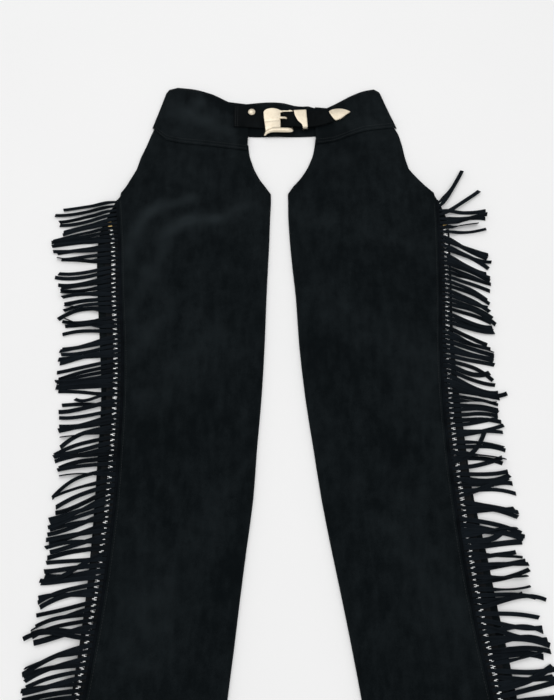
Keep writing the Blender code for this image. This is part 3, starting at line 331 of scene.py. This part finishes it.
def bright_metal(name, dull, bright, roughness):
    """Polished plate with faint hazing, fine scratches and a slightly darker tarnish."""
    material, tree, shader = new_material(name, roughness, metallic=1.0)
    place = object_place(tree)
    haze = noise_at(tree, place, 130, detail=4.0, roughness=0.6)
    scratches = noise_at(tree, object_place(tree, scale=(1, 9, 9), turn=0.5), 600, detail=3.0)
    factor = weighted_sum(tree, [(haze, 0.7), (scratches, 0.3)])
    colours_by(tree, shader, factor, [(0.3, dull), (0.7, bright)])
    bump_by(tree, shader, scratches, 0.02 * MM)
    rough = add_node(tree, "ShaderNodeMapRange", {"To Min": roughness - 0.06, "To Max": roughness + 0.1})
    tree.links.new(haze, rough.inputs["Value"])
    tree.links.new(rough.outputs["Result"], shader.inputs["Roughness"])
    return material


zip_tape = woven_tape()
zip_metal = bright_metal("zip_metal", (0.66, 0.67, 0.68), (0.95, 0.95, 0.94), 0.24)
brass = bright_metal("brass", (0.46, 0.30, 0.10), (0.78, 0.55, 0.24), 0.3)


def span_at(node, level, axis=1):
    """The node's least and greatest x at this y, or its least and greatest y at this x (axis 0)."""
    mesh = nodes[node].data
    across = 1 - axis
    found = []
    for edge in mesh.edges:
        a, b = (mesh.vertices[k].co for k in edge.vertices)
        if a[axis] != b[axis] and (a[axis] - level) * (b[axis] - level) <= 0:
            share = (level - a[axis]) / (b[axis] - a[axis])
            found.append(a[across] + (b[across] - a[across]) * share)
    return min(found), max(found)


def chain_middles(side, step):
    """Points along the middle of the zip's chain, from the slider up to the box."""
    low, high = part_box(f"zip_chain_{side}")
    count = int((high.y - low.y) / step)
    knots = 40
    just_inside = 0.001
    shares = [just_inside + (1 - 2 * just_inside) * k / knots for k in range(knots + 1)]
    ys = [low.y + (high.y - low.y) * share for share in shares]
    xs = [sum(span_at(f"zip_chain_{side}", y)) / 2 for y in ys]
    points = []
    for k in range(count):
        at = (k + 0.5) / count * knots
        i = min(int(at), knots - 1)
        start = Vector((xs[i], ys[i], 0))
        end = Vector((xs[i + 1], ys[i + 1], 0))
        points.append(start.lerp(end, at - i))
    return points


def soften_edges(piece, width, segments=2):
    """Rounds the piece's edges a little."""
    soften = piece.modifiers.new("soft edges", "BEVEL")
    soften.width = width
    soften.segments = segments
    return soften


for side in SIDES:
    for name, width in TAPE_WIDTHS.items():
        node = f"zip_tape_{name}_{side}"
        bm = copy_of(node)
        divide(bm, 14 * MM)
        low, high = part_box(node)
        tape = add_piece(f"tape_{name}_{side}", bm, zip_tape, [node])
    middles = chain_middles(side, TOOTH_PITCH / 2)
    chain_low, chain_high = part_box(f"zip_chain_{side}")
    level = (chain_low.z + chain_high.z) / 2
    bm = bmesh.new()
    for k, middle in enumerate(middles):
        hand = 1 if k % 2 else -1
        tooth = bmesh.ops.create_cube(bm, size=1.0)["verts"]
        bmesh.ops.scale(bm, verts=tooth, vec=TOOTH)
        nose = [vert for vert in tooth if vert.co.x * hand < 0]
        bmesh.ops.scale(bm, verts=nose, vec=TOOTH_NOSE)
        offset = Vector((hand * TOOTH_OFFSET, 0, level))
        bmesh.ops.translate(bm, verts=tooth, vec=middle + offset)
    teeth = add_piece(f"zip_teeth_{side}", bm, zip_metal, [f"zip_chain_{side}"])
    soften_edges(teeth, 0.4 * MM, segments=1)
    for node, material in ((f"zip_box_{side}", brass), (f"zip_stop_{side}", zip_metal)):
        bm = copy_of(node)
        piece = add_piece(node.replace("zip_", "zip_metal_"), bm, material, [node])
        soften_edges(piece, 0.5 * MM)
    for node, body in ((f"zip_slider_{side}", "garment"), (f"zip_pull_{side}", f"pull_{side}")):
        bm = copy_of(node)
        piece = add_piece(node.replace("zip_", "zip_cast_"), bm, zip_metal, [node], body=body)
        soften_edges(piece, 0.3 * MM)

# Front panels of the legs
# Each is one piece of black suede that rolls down to the surface at the inseam and lies over
# the zip at its outer edge, where a row of stitches holds the zip's tape and the fringe strip.
# Soft creases as (x0, y0, x1, y1, width, height) in mm, and paler marks with a strength at the end.
FRONT_CREASES = [
    (-70, 279, -188, 242, 12, 0.8),
    (-188, 242, -215, 150, 10, 0.7),
    (-120, 300, -200, 268, 8, 0.5),
    (-60, 180, -150, 120, 10, -0.5),
    (-80, -60, -180, -120, 13, 0.5),
    (-90, -330, -200, -300, 14, 0.5),
    (40, 262, 170, 214, 11, 0.7),
    (90, 330, 180, 300, 9, 0.5),
    (80, 60, 200, 10, 12, -0.5),
    (120, -160, 220, -110, 13, 0.5),
    (130, -340, 240, -300, 14, -0.5),
]
# The marks that run along the creases are painted highlight on their ridges; the others are pale patches
# of nap.
CREASE_HIGHLIGHTS_AND_PALE_NAP = [
    (-143, 305, -201, 285, 9, 0.44),
    (-201, 285, -226, 245, 9, 0.50),
    (-226, 245, -232, 196, 10, 0.34),
    (-54, 288, -94, 268, 8, 0.46),
    (-94, 268, -146, 264, 8, 0.52),
    (-146, 264, -174, 238, 9, 0.56),
    (-174, 238, -190, 180, 11, 0.34),
    (-208, 165, -218, 110, 10, 0.34),
    (-188, 75, -197, 62, 12, 0.42),
    (-80, 280, -170, 240, 30, 0.12),
    (60, 268, 160, 235, 20, 0.16),
    (-120, 40, -190, -40, 30, 0.16),
    (110, 90, 190, 30, 30, 0.14),
    (150, -220, 215, -300, 32, 0.14),
    (-100, -230, -170, -330, 34, 0.14),
]
STITCH_LENGTH = 3.1 * MM
STITCH_GAP = 0.8 * MM
THREAD_RADIUS = 0.36 * MM
THREAD_HEIGHT = 0.12 * MM
EDGE_LOW = -526 * MM
EDGE_LENGTH = 824 * MM
EDGE_KNOTS = 60
SEAM_INSET = 3.0 * MM
FLAT_HEIGHT = 2.5 * MM
WAVES = 0.35 * MM


def sewing_thread():
    """Bonded black thread, a little glossier than the suede, with its twist as fine ribs."""
    material, tree, shader = new_material("thread", 0.6)
    place = object_place(tree, turn=math.radians(38))
    twist = add_node(tree, "ShaderNodeTexWave", {"Scale": 900, "Distortion": 0.6}, {"Vector": place})
    tone = weighted_sum(tree, [(twist.outputs["Fac"], 0.5), (noise_at(tree, place, 300), 0.5)])
    colours_by(tree, shader, tone, [(0.2, (0.006, 0.0075, 0.0085)), (0.9, (0.020, 0.023, 0.0255))])
    bump_by(tree, shader, twist.outputs["Fac"], 0.08 * MM)
    shader.inputs["Specular IOR Level"].default_value = 0.25
    return material


thread = sewing_thread()


def sew(bm, surface, points):
    """A row of stitches along these points (x, y), each lying on the surface under it."""
    travelled = 0.0
    for (x0, y0), (x1, y1) in zip(points, points[1:]):
        run = math.hypot(x1 - x0, y1 - y0)
        turn = math.atan2(y1 - y0, x1 - x0)
        while travelled < run:
            share = travelled / run
            x = x0 + (x1 - x0) * share
            y = y0 + (y1 - y0) * share
            from_above = Vector((x, y, 60 * MM))
            below = surface.ray_cast(from_above, Vector((0, 0, -1)))[0]
            if below:
                stitch = bmesh.ops.create_icosphere(bm, subdivisions=1, radius=1.0)["verts"]
                place = Vector((x, y, below.z + THREAD_HEIGHT))
                size = Vector((STITCH_LENGTH / 2, THREAD_RADIUS, THREAD_RADIUS))
                lie = Matrix.LocRotScale(place, Euler((0, 0, turn)), size)
                bmesh.ops.transform(bm, matrix=lie, verts=stitch)
            travelled += STITCH_LENGTH + STITCH_GAP
        travelled -= run


def relief(x, y, creases):
    """How far the creases and the suede's low waves lift the surface here, in metres."""
    folds = sum(bump_along(x, y, crease) for crease in creases) * MM
    return folds + WAVES * noise.noise(Vector((x, y, 0)) * 14)


for side, outwards in SIDES.items():
    node = f"leg_front_{side}"
    bm = copy_of(node)
    divide(bm, 6 * MM)
    ease_outline(bm, 3)
    for vert in bm.verts:
        free = min(1.0, max(0.0, (vert.co.z - FLAT_HEIGHT) / FLAT_HEIGHT))
        vert.co.z += free * relief(vert.co.x, vert.co.y, FRONT_CREASES)
    mark_nap_and_highlight(bm, CREASE_HIGHLIGHTS_AND_PALE_NAP)
    surface = BVHTree.FromBMesh(bm)
    panel = add_piece(f"front_panel_{side}", bm, black_suede, [node])
    bm = bmesh.new()
    ys = [EDGE_LOW + EDGE_LENGTH * k / EDGE_KNOTS for k in range(EDGE_KNOTS + 1)]
    edge = [span_at(node, y)[0 if outwards < 0 else 1] - outwards * SEAM_INSET for y in ys]
    sew(bm, surface, list(zip(edge, ys)))
    add_piece(f"edge_stitches_{side}", bm, thread, sharp=180)

# Fringe
# Cut suede strands grow from a narrow strip sewn along each front panel's outer edge. They cross
# the zip, fall to the surface, and lie in locks whose tips have come together.
FRINGE_TOP_Y = 300 * MM
FRINGE_PITCH = 7.9 * MM
SEAM_GAP = 0.3 * MM
STRIP_WIDTH = 4.5 * MM
STRIP_HEIGHT = 5.6 * MM
STRIP_STEPS = 110
STRAND_THICKNESS = 1.4 * MM
STRAND_STEPS = 18
STRAND_WIDTHS = (5.2 * MM, 6.5 * MM)
WIDE_STRAND = 7.6 * MM
SHARE_WIDE = 0.10
SHARE_ON_EDGE = 0.10
SHARE_CROSSED = 0.40

# Locks from the hip down: how many strands lie together, how far their tips reach from the strip
# and lie towards the waist, in mm, and how close the tips are as a share of the roots' pitch.
LOCK_COLUMNS = ("strands", "reach", "towards_waist", "closeness")
LOCKS = {
    "left": [
        (1, 85, -13, 1.00),
        (1, 100, -16, 1.00),
        (2, 92, -19, 0.82),
        (2, 89, -22, 0.70),
        (4, 105, -16, 0.46),
        (4, 103, -4, 0.46),
        (1, 91, 7, 1.00),
        (2, 99, -10, 0.89),
        (4, 94, -10, 0.59),
        (1, 90, -6, 1.00),
        (2, 89, -6, 0.65),
        (2, 92, -3, 0.64),
        (2, 91, 1, 0.64),
        (1, 88, 3, 1.00),
        (1, 92, -5, 1.00),
        (2, 93, -18, 0.62),
        (1, 94, -14, 1.00),
        (2, 95, -13, 0.82),
        (1, 95, -19, 1.00),
        (7, 98, -7, 0.37),
        (1, 90, -7, 1.00),
        (1, 90, -9, 1.00),
        (1, 89, -11, 1.00),
        (2, 90, -15, 0.77),
        (1, 90, -15, 1.00),
        (2, 87, -23, 0.75),
        (3, 92, -15, 0.56),
        (4, 86, -8, 0.49),
        (1, 86, -25, 1.00),
        (1, 82, -32, 1.00),
        (1, 80, -32, 1.00),
        (4, 89, -28, 0.64),
        (4, 88, -19, 0.75),
        (3, 85, -13, 0.77),
        (3, 86, -8, 0.76),
        (1, 88, -7, 1.00),
        (3, 87, -17, 0.90),
        (1, 87, -18, 1.00),
        (4, 88, -20, 0.59),
        (1, 85, -14, 1.00),
        (5, 88, -28, 0.50),
        (3, 84, -16, 0.53),
        (3, 82, -8, 0.60),
    ],
    "right": [
        (1, 44, 61, 1.00),
        (1, 68, 30, 1.00),
        (1, 78, 14, 1.00),
        (3, 77, 10, 0.95),
        (1, 64, 9, 1.00),
        (1, 75, 7, 1.00),
        (2, 76, -32, 0.68),
        (1, 79, -30, 1.00),
        (2, 75, -34, 0.90),
        (4, 75, -29, 0.52),
        (1, 76, -26, 1.00),
        (1, 72, -34, 1.00),
        (2, 73, -31, 0.65),
        (1, 77, -29, 1.00),
        (3, 75, -27, 0.53),
        (3, 80, -20, 0.53),
        (2, 72, -29, 0.83),
        (5, 80, -20, 0.56),
        (1, 69, -18, 1.00),
        (1, 77, -23, 1.00),
        (4, 79, -19, 0.66),
        (3, 81, -9, 0.59),
        (4, 81, -1, 0.52),
        (2, 83, 9, 0.77),
        (1, 83, 8, 1.00),
        (2, 80, -6, 0.56),
        (3, 78, -2, 0.56),
        (1, 80, 2, 1.00),
        (3, 83, 8, 0.55),
        (1, 82, 12, 1.00),
        (1, 87, 3, 1.00),
        (3, 86, -7, 0.71),
        (2, 85, -12, 0.70),
        (4, 88, -2, 0.58),
        (1, 73, 2, 1.00),
        (2, 84, 5, 0.68),
        (1, 87, 9, 1.00),
        (2, 85, 10, 1.01),
        (1, 82, 5, 1.00),
        (1, 74, 2, 1.00),
        (1, 87, 4, 1.00),
        (2, 89, -11, 0.81),
        (2, 90, -9, 0.64),
        (5, 90, -1, 0.47),
        (1, 79, 9, 1.00),
        (2, 90, 8, 0.62),
        (3, 85, 14, 0.46),
        (3, 79, 12, 0.60),
    ],
}

# Strands that leave their lock, by where they grow: where they end, how far they bow towards the
# waist on the way, and how far the end curls back, in mm.
STRAY_COLUMNS = ("root_y", "tip_x", "tip_y", "bow", "curl")
STRAYS = {
    "left": [
        (205, -341, 196, 4, 9),
        (108, -336, 92, 12, -4),
        (-20, -298, -37, -5, 12),
        (-141, -317, -184, 12, -7),
        (-262, -322, -297, -12, 8),
        (-371, -336, -372, 11, -6),
    ],
    "right": [
        (292, 310, 362, 4, 3),
        (276, 335, 323, 3, 2),
        (118, 338, 83, 8, -5),
        (-16, 344, -28, -10, 9),
        (-134, 305, -87, -12, 6),
        (-245, 320, -227, -9, 5),
        (-330, 366, -322, 11, -7),
    ],
}

# Its pale bluish end shows in the painted highlight along the strands' edges as well as in their own tone.
fringe_suede = suede("fringe_suede", (0.0008, 0.0014, 0.0021), (0.0075, 0.0108, 0.0145), 0.05, 0.2 * MM)


def edge_line(node, outwards, y_low, y_high, steps):
    """The node's outer edge as a function from y to x."""
    ys = [y_low + (y_high - y_low) * k / steps for k in range(steps + 1)]
    xs = [span_at(node, y)[0 if outwards < 0 else 1] for y in ys]

    def at(y):
        place = min(max((y - y_low) / (y_high - y_low), 0.0), 1.0) * steps
        i = min(int(place), steps - 1)
        return xs[i] + (xs[i + 1] - xs[i]) * (place - i)

    return at


def eased(t, start, end):
    """Rises from 0 to 1 between start and end, flat at both."""
    share = min(max((t - start) / (end - start), 0.0), 1.0)
    return share * share * (3 - 2 * share)


def combed_strands(side, edge, outwards, rng):
    """Each strand's root, tip, bow and curl. Some neighbours swap tips, so that they cross."""
    strands = []
    root_y = drawing.y + FRINGE_TOP_Y
    for row in LOCKS[side]:
        lock = dict(zip(LOCK_COLUMNS, row))
        count = lock["strands"]
        middle = root_y - FRINGE_PITCH * (count - 1) / 2 + lock["towards_waist"] * MM
        bow = rng.uniform(-7, 7) * MM
        curl = rng.uniform(-5, 5) * MM
        for k in range(count):
            spread = ((count - 1) / 2 - k) * FRINGE_PITCH * lock["closeness"]
            root_x = edge(root_y) + outwards * (SEAM_GAP + STRIP_WIDTH)
            reach = lock["reach"] * MM + rng.uniform(-5.5, 1.5) * MM
            strand = {
                "root": (root_x, root_y),
                "tip": (root_x + outwards * reach, middle + spread + rng.uniform(-1.2, 1.2) * MM),
                "bow": bow + rng.uniform(-4.5, 4.5) * MM,
                "curl": curl + rng.uniform(-4, 4) * MM,
                "loose": False,
            }
            strands.append(strand)
            root_y -= FRINGE_PITCH
    for above, below in zip(strands, strands[1:]):
        if rng.random() < SHARE_CROSSED and above["tip"][1] - below["tip"][1] < 18 * MM:
            above["tip"], below["tip"] = below["tip"], above["tip"]
    for row in STRAYS[side]:
        stray = dict(zip(STRAY_COLUMNS, row))
        nearest = min(strands, key=lambda s: abs(s["root"][1] - drawing.y - stray["root_y"] * MM))
        tip = drawing + Vector((stray["tip_x"], stray["tip_y"], 0)) * MM
        nearest.update(tip=(tip.x, tip.y), bow=stray["bow"] * MM, curl=stray["curl"] * MM, loose=True)
    return strands


def lay_strand(bm, nap_and_highlight, strand, layer, rng):
    """One strand: a narrow grid from its root to its tip, level over the zip and then falling."""
    width = rng.uniform(*STRAND_WIDTHS)
    if rng.random() < SHARE_WIDE:
        width = WIDE_STRAND
    on_edge = rng.random() < SHARE_ON_EDGE
    turn = rng.choice((-1.2, 1.2)) if on_edge else rng.uniform(-0.35, 0.35)
    slant = rng.uniform(-0.35, 0.35)
    tone = rng.uniform(0.0, 0.32)
    lift = layer * 1.7 * MM + (2.4 * MM if strand["loose"] else rng.uniform(0, 0.8) * MM)
    (root_x, root_y), (tip_x, tip_y) = strand["root"], strand["tip"]
    cover = 0.74 + 0.75 * noise.noise(Vector((root_x * 9, root_y * 17, 0)))
    root_share = min(1.06, max(0.64, cover))

    def path(t):
        fall = eased(t, 0.13, 0.52)
        y = root_y + (tip_y - root_y) * t**1.3
        y += strand["bow"] * math.sin(math.pi * t) * t + strand["curl"] * (t**5 - t**2)
        z = STRIP_HEIGHT * (1 - fall) + (0.85 * MM + lift * math.sin(math.pi * min(t, 0.85))) * fall
        return Vector((root_x + (tip_x - root_x) * t, y, z))

    grid = bmesh.ops.create_grid(bm, x_segments=STRAND_STEPS, y_segments=2, size=0.5)["verts"]
    for vert in grid:
        t = vert.co.x + 0.5
        across_by = vert.co.y
        if t > 0.99:
            t += slant * across_by * 0.08
        ahead = (path(t + 0.02) - path(max(t - 0.02, 0.0))).normalized()
        angle = turn * eased(t, 0.2, 0.55)
        across = Vector((0, 0, 1)).cross(ahead).normalized()
        across = Matrix.Rotation(angle, 3, ahead) @ across
        here = path(t)
        lowest = (width / 2) * abs(across.z) + STRAND_THICKNESS / 2 + 0.05 * MM
        here.z = max(here.z, lowest)
        # Each strand's tone differs at random; its two long edges are painted paler, a painted highlight.
        vert[nap_and_highlight] = tone + 0.30 * abs(across_by) * 2
        share = root_share + (1 - root_share) * eased(t, 0.02, 0.22)
        vert.co = here + across * across_by * width * share


for side, outwards in SIDES.items():
    rng = random.Random(11 if outwards < 0 else 23)
    edge = edge_line(f"leg_front_{side}", outwards, -500 * MM, 310 * MM, EDGE_KNOTS)
    strands = combed_strands(side, edge, outwards, rng)
    bm = bmesh.new()
    nap_and_highlight = bm.verts.layers.float.new("nap_and_highlight")
    for k, strand in enumerate(strands):
        lay_strand(bm, nap_and_highlight, strand, k % 2, rng)
    strip = bmesh.ops.create_grid(bm, x_segments=1, y_segments=STRIP_STEPS, size=0.5)["verts"]
    strip_top = strands[0]["root"][1] + FRINGE_PITCH / 2
    strip_end = strands[-1]["root"][1] - FRINGE_PITCH / 2
    for vert in strip:
        y = strip_end + (strip_top - strip_end) * (vert.co.y + 0.5)
        out = SEAM_GAP + STRIP_WIDTH * (vert.co.x + 0.5)
        vert.co = Vector((edge(y) + outwards * out, y, STRIP_HEIGHT))
    bm.normal_update()
    bmesh.ops.reverse_faces(bm, faces=[face for face in bm.faces if face.normal.z < 0])
    fringe = add_piece(f"cut_fringe_{side}", bm, fringe_suede, [f"fringe_{side}"], sharp=35)
    body = fringe.modifiers.new("thickness", "SOLIDIFY")
    body.thickness = STRAND_THICKNESS
    body.offset = 0.0
    soften_edges(fringe, 0.25 * MM, segments=1)

# Yokes
# The back yoke is one shaped band from hip to hip. The front yokes are sewn over the tops of the
# legs in two rows of stitches, and turn down to the back yoke at the hips.
YOKE_MARKS = [
    (-150, 474, -95, 452, 13, 0.62),
    (-130, 498, -80, 470, 10, 0.34),
    (-150, 474, -132, 496, 9, 0.30),
    (-76, 484, -45, 455, 26, -0.34),
    (75, 470, 85, 438, 14, -0.20),
    (-175, 480, -150, 430, 14, 0.12),
    (110, 470, 150, 455, 14, 0.12),
]
YOKE_CREASES = [
    (-150, 500, -60, 470, 9, 0.5),
    (-190, 470, -120, 430, 10, 0.5),
    (80, 440, 170, 480, 9, 0.5),
    (120, 500, 180, 510, 9, 0.4),
]
YOKES = {
    "yoke_back": ("back_yoke", (0.42, 0.10), 0.026),
    "yoke_front_left": ("front_yoke_left", (0.19, 0.14), 0.0135),
    "yoke_front_right": ("front_yoke_right", (0.16, 0.13), 0.0085),
}
YOKE_FLAT_HEIGHT = 2.0 * MM
YOKE_RELIEF = 0.6
YOKE_SEAM_INSETS = (SEAM_INSET, 8.5 * MM)
TOP_SEAM_INSET = 3.5 * MM
SEAM_ENDS = 5 * MM
SEAM_KNOTS = 24
for node, (name, cut, area) in YOKES.items():
    bm = copy_of(node)
    divide(bm, 6 * MM)
    ease_outline(bm, 8)
    if node != "yoke_back":
        for vert in bm.verts:
            free = min(1.0, max(0.0, (vert.co.z - YOKE_FLAT_HEIGHT) / YOKE_FLAT_HEIGHT))
            vert.co.z += free * YOKE_RELIEF * relief(vert.co.x, vert.co.y, YOKE_CREASES)
    mark_nap_and_highlight(bm, YOKE_MARKS)
    surface = BVHTree.FromBMesh(bm)
    yoke = add_piece(name, bm, black_suede, [node])
    low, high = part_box(node)
    bm = bmesh.new()
    run = high.x - low.x - 2 * SEAM_ENDS
    xs = [low.x + SEAM_ENDS + run * k / SEAM_KNOTS for k in range(SEAM_KNOTS + 1)]
    spans = [span_at(node, x, axis=0) for x in xs]
    sew(bm, surface, [(x, top - TOP_SEAM_INSET) for x, (bottom, top) in zip(xs, spans)])
    if node != "yoke_back":
        for inset in YOKE_SEAM_INSETS:
            sew(bm, surface, [(x, bottom + inset) for x, (bottom, top) in zip(xs, spans)])
    add_piece(f"{name}_stitches", bm, thread, sharp=180)

# Belt straps
# The billet is riveted on the left front end and passes through the buckle and the keeper. The
# chape is folded round the buckle's heel bar and sewn on the right front end.
strap_leather = suede("strap_leather", (0.0014, 0.0020, 0.0024), (0.0075, 0.0098, 0.0108), 0.05, 0.15 * MM)
BILLET_SEAM_INSETS = (SEAM_INSET, 6.5 * MM)
BILLET_SEAM_LENGTH = 60 * MM
STRAPS = {
    "belt_billet": ("billet", (0.045, 0.17), 0.0056),
    "belt_chape": ("chape", (0.034, 0.14), 0.0041),
}
for node, (name, cut, area) in STRAPS.items():
    bm = copy_of(node)
    divide(bm, 5 * MM)
    ease_outline(bm, 6)
    mark_nap_and_highlight(bm, [])
    surface = BVHTree.FromBMesh(bm)
    strap = add_piece(name, bm, strap_leather, [node])
    if node == "belt_billet":
        low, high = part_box(node)
        bm = bmesh.new()
        for inset in BILLET_SEAM_INSETS:
            x = low.x + inset
            sew(bm, surface, [(x, high.y - BILLET_SEAM_LENGTH), (x, high.y)])
        add_piece("billet_stitches", bm, thread, sharp=180)

# Buckle set
# Warm nickel castings: the frame with its one broad end, the prong, the keeper, the pointed tip
# on the billet's end, and the domed cap of the rivet.
nickel = bright_metal("nickel", (0.60, 0.52, 0.40), (0.78, 0.70, 0.56), 0.30)
SLICE = 1.2 * MM
CAST_EDGE = math.radians(55)

# Where the castings' tops are shaped, in plan and in height, all in mm.
PLATE_MIDDLE_X = -7
PLATE_HALF_WIDTH = 15
PLATE_END_X = 8
PLATE_LOW_Y = 444
PLATE_DOME = 0.9
PLATE_CREASE_Y = 460
PLATE_CREASE_WIDTH = 1.6
PLATE_CREASE_DEPTH = 0.45
FAR_BAR_FULL_X = 14
FAR_BAR_LOW_Y = 470
FAR_BAR_RISE = 2.2
TIP_ROOT = (95, 470)
TIP_SLOPE = 0.22
TIP_HALF_WIDTH = 11
TIP_DOME = 0.9
KEEPER_MIDDLE_Y = 459.7
KEEPER_HALF_LENGTH = 18
KEEPER_BOW = 0.35


def slice_up(bm):
    """Cuts the piece into thin slices both ways in plan, so that its flat faces can be shaped."""
    xs = [vert.co.x for vert in bm.verts]
    ys = [vert.co.y for vert in bm.verts]
    for axis, low, high in ((0, min(xs), max(xs)), (1, min(ys), max(ys))):
        normal = Vector((1, 0, 0)) if axis == 0 else Vector((0, 1, 0))
        for k in range(1, int((high - low) / SLICE)):
            everything = bm.verts[:] + bm.edges[:] + bm.faces[:]
            here = normal * (low + k * SLICE)
            bmesh.ops.bisect_plane(bm, geom=everything, plane_co=here, plane_no=normal, dist=0.02 * MM)


def arched_plate(x, y):
    """The frame's top: a domed plate with one faint crease, and the far bar level with it."""
    from_middle = (x - PLATE_MIDDLE_X) / PLATE_HALF_WIDTH
    dome = PLATE_DOME * max(0.0, 1 - from_middle**2)
    from_crease = (y - PLATE_CREASE_Y - 0.12 * x) / PLATE_CREASE_WIDTH
    crease = PLATE_CREASE_DEPTH * math.exp(-(from_crease**2))
    if x < PLATE_END_X and y > PLATE_LOW_Y:
        return dome - crease
    if y > FAR_BAR_LOW_Y:
        return FAR_BAR_RISE * eased(x, PLATE_END_X, FAR_BAR_FULL_X)
    return 0.0


def domed_tip(x, y):
    """The tip's top: highest along the line from its root to its point."""
    root_x, root_y = TIP_ROOT
    off_line = (y - (root_y + TIP_SLOPE * (x - root_x))) / TIP_HALF_WIDTH
    return TIP_DOME * max(0.0, 1 - off_line**2)


def bowed_keeper(x, y):
    """The keeper's top: bowed a little over the strap under it."""
    return KEEPER_BOW * max(0.0, 1 - ((y - KEEPER_MIDDLE_Y) / KEEPER_HALF_LENGTH) ** 2)


def plain_top(x, y):
    """A top that stays as the solid has it."""
    return 0.0


# Each casting's piece, the width of its soft edges, the height its top starts at, and its shape
CASTINGS = {
    "buckle_frame": ("frame_casting", 0.35 * MM, 7.5 * MM, arched_plate),
    "buckle_prong": ("prong_casting", 0.3 * MM, 8.0 * MM, plain_top),
    "belt_keeper": ("keeper_plate", 0.3 * MM, 12.0 * MM, bowed_keeper),
    "strap_tip": ("tip_plate", 0.3 * MM, 7.0 * MM, domed_tip),
    "rivet_cap": ("rivet_dome", 0.2 * MM, 8.0 * MM, plain_top),
}
for node, (name, edge_width, top_from, top_shape) in CASTINGS.items():
    bm = copy_of(node)
    if top_shape is not plain_top:
        slice_up(bm)
        ease_outline(bm, 3, widest_bend=60)
    for vert in bm.verts:
        if vert.co.z > top_from:
            place = (vert.co - drawing) / MM
            vert.co.z += top_shape(place.x, place.y) * MM
    if top_shape is not plain_top:
        for _ in range(3):
            raised = [vert for vert in bm.verts if vert.co.z > top_from - 2 * MM]
            bmesh.ops.smooth_vert(
                bm, verts=raised, factor=0.4, use_axis_x=True, use_axis_y=True, use_axis_z=True
            )
    casting = add_piece(name, bm, nickel, [node], sharp=55)
    soften = soften_edges(casting, edge_width)
    soften.limit_method = "ANGLE"
    soften.angle_limit = CAST_EDGE
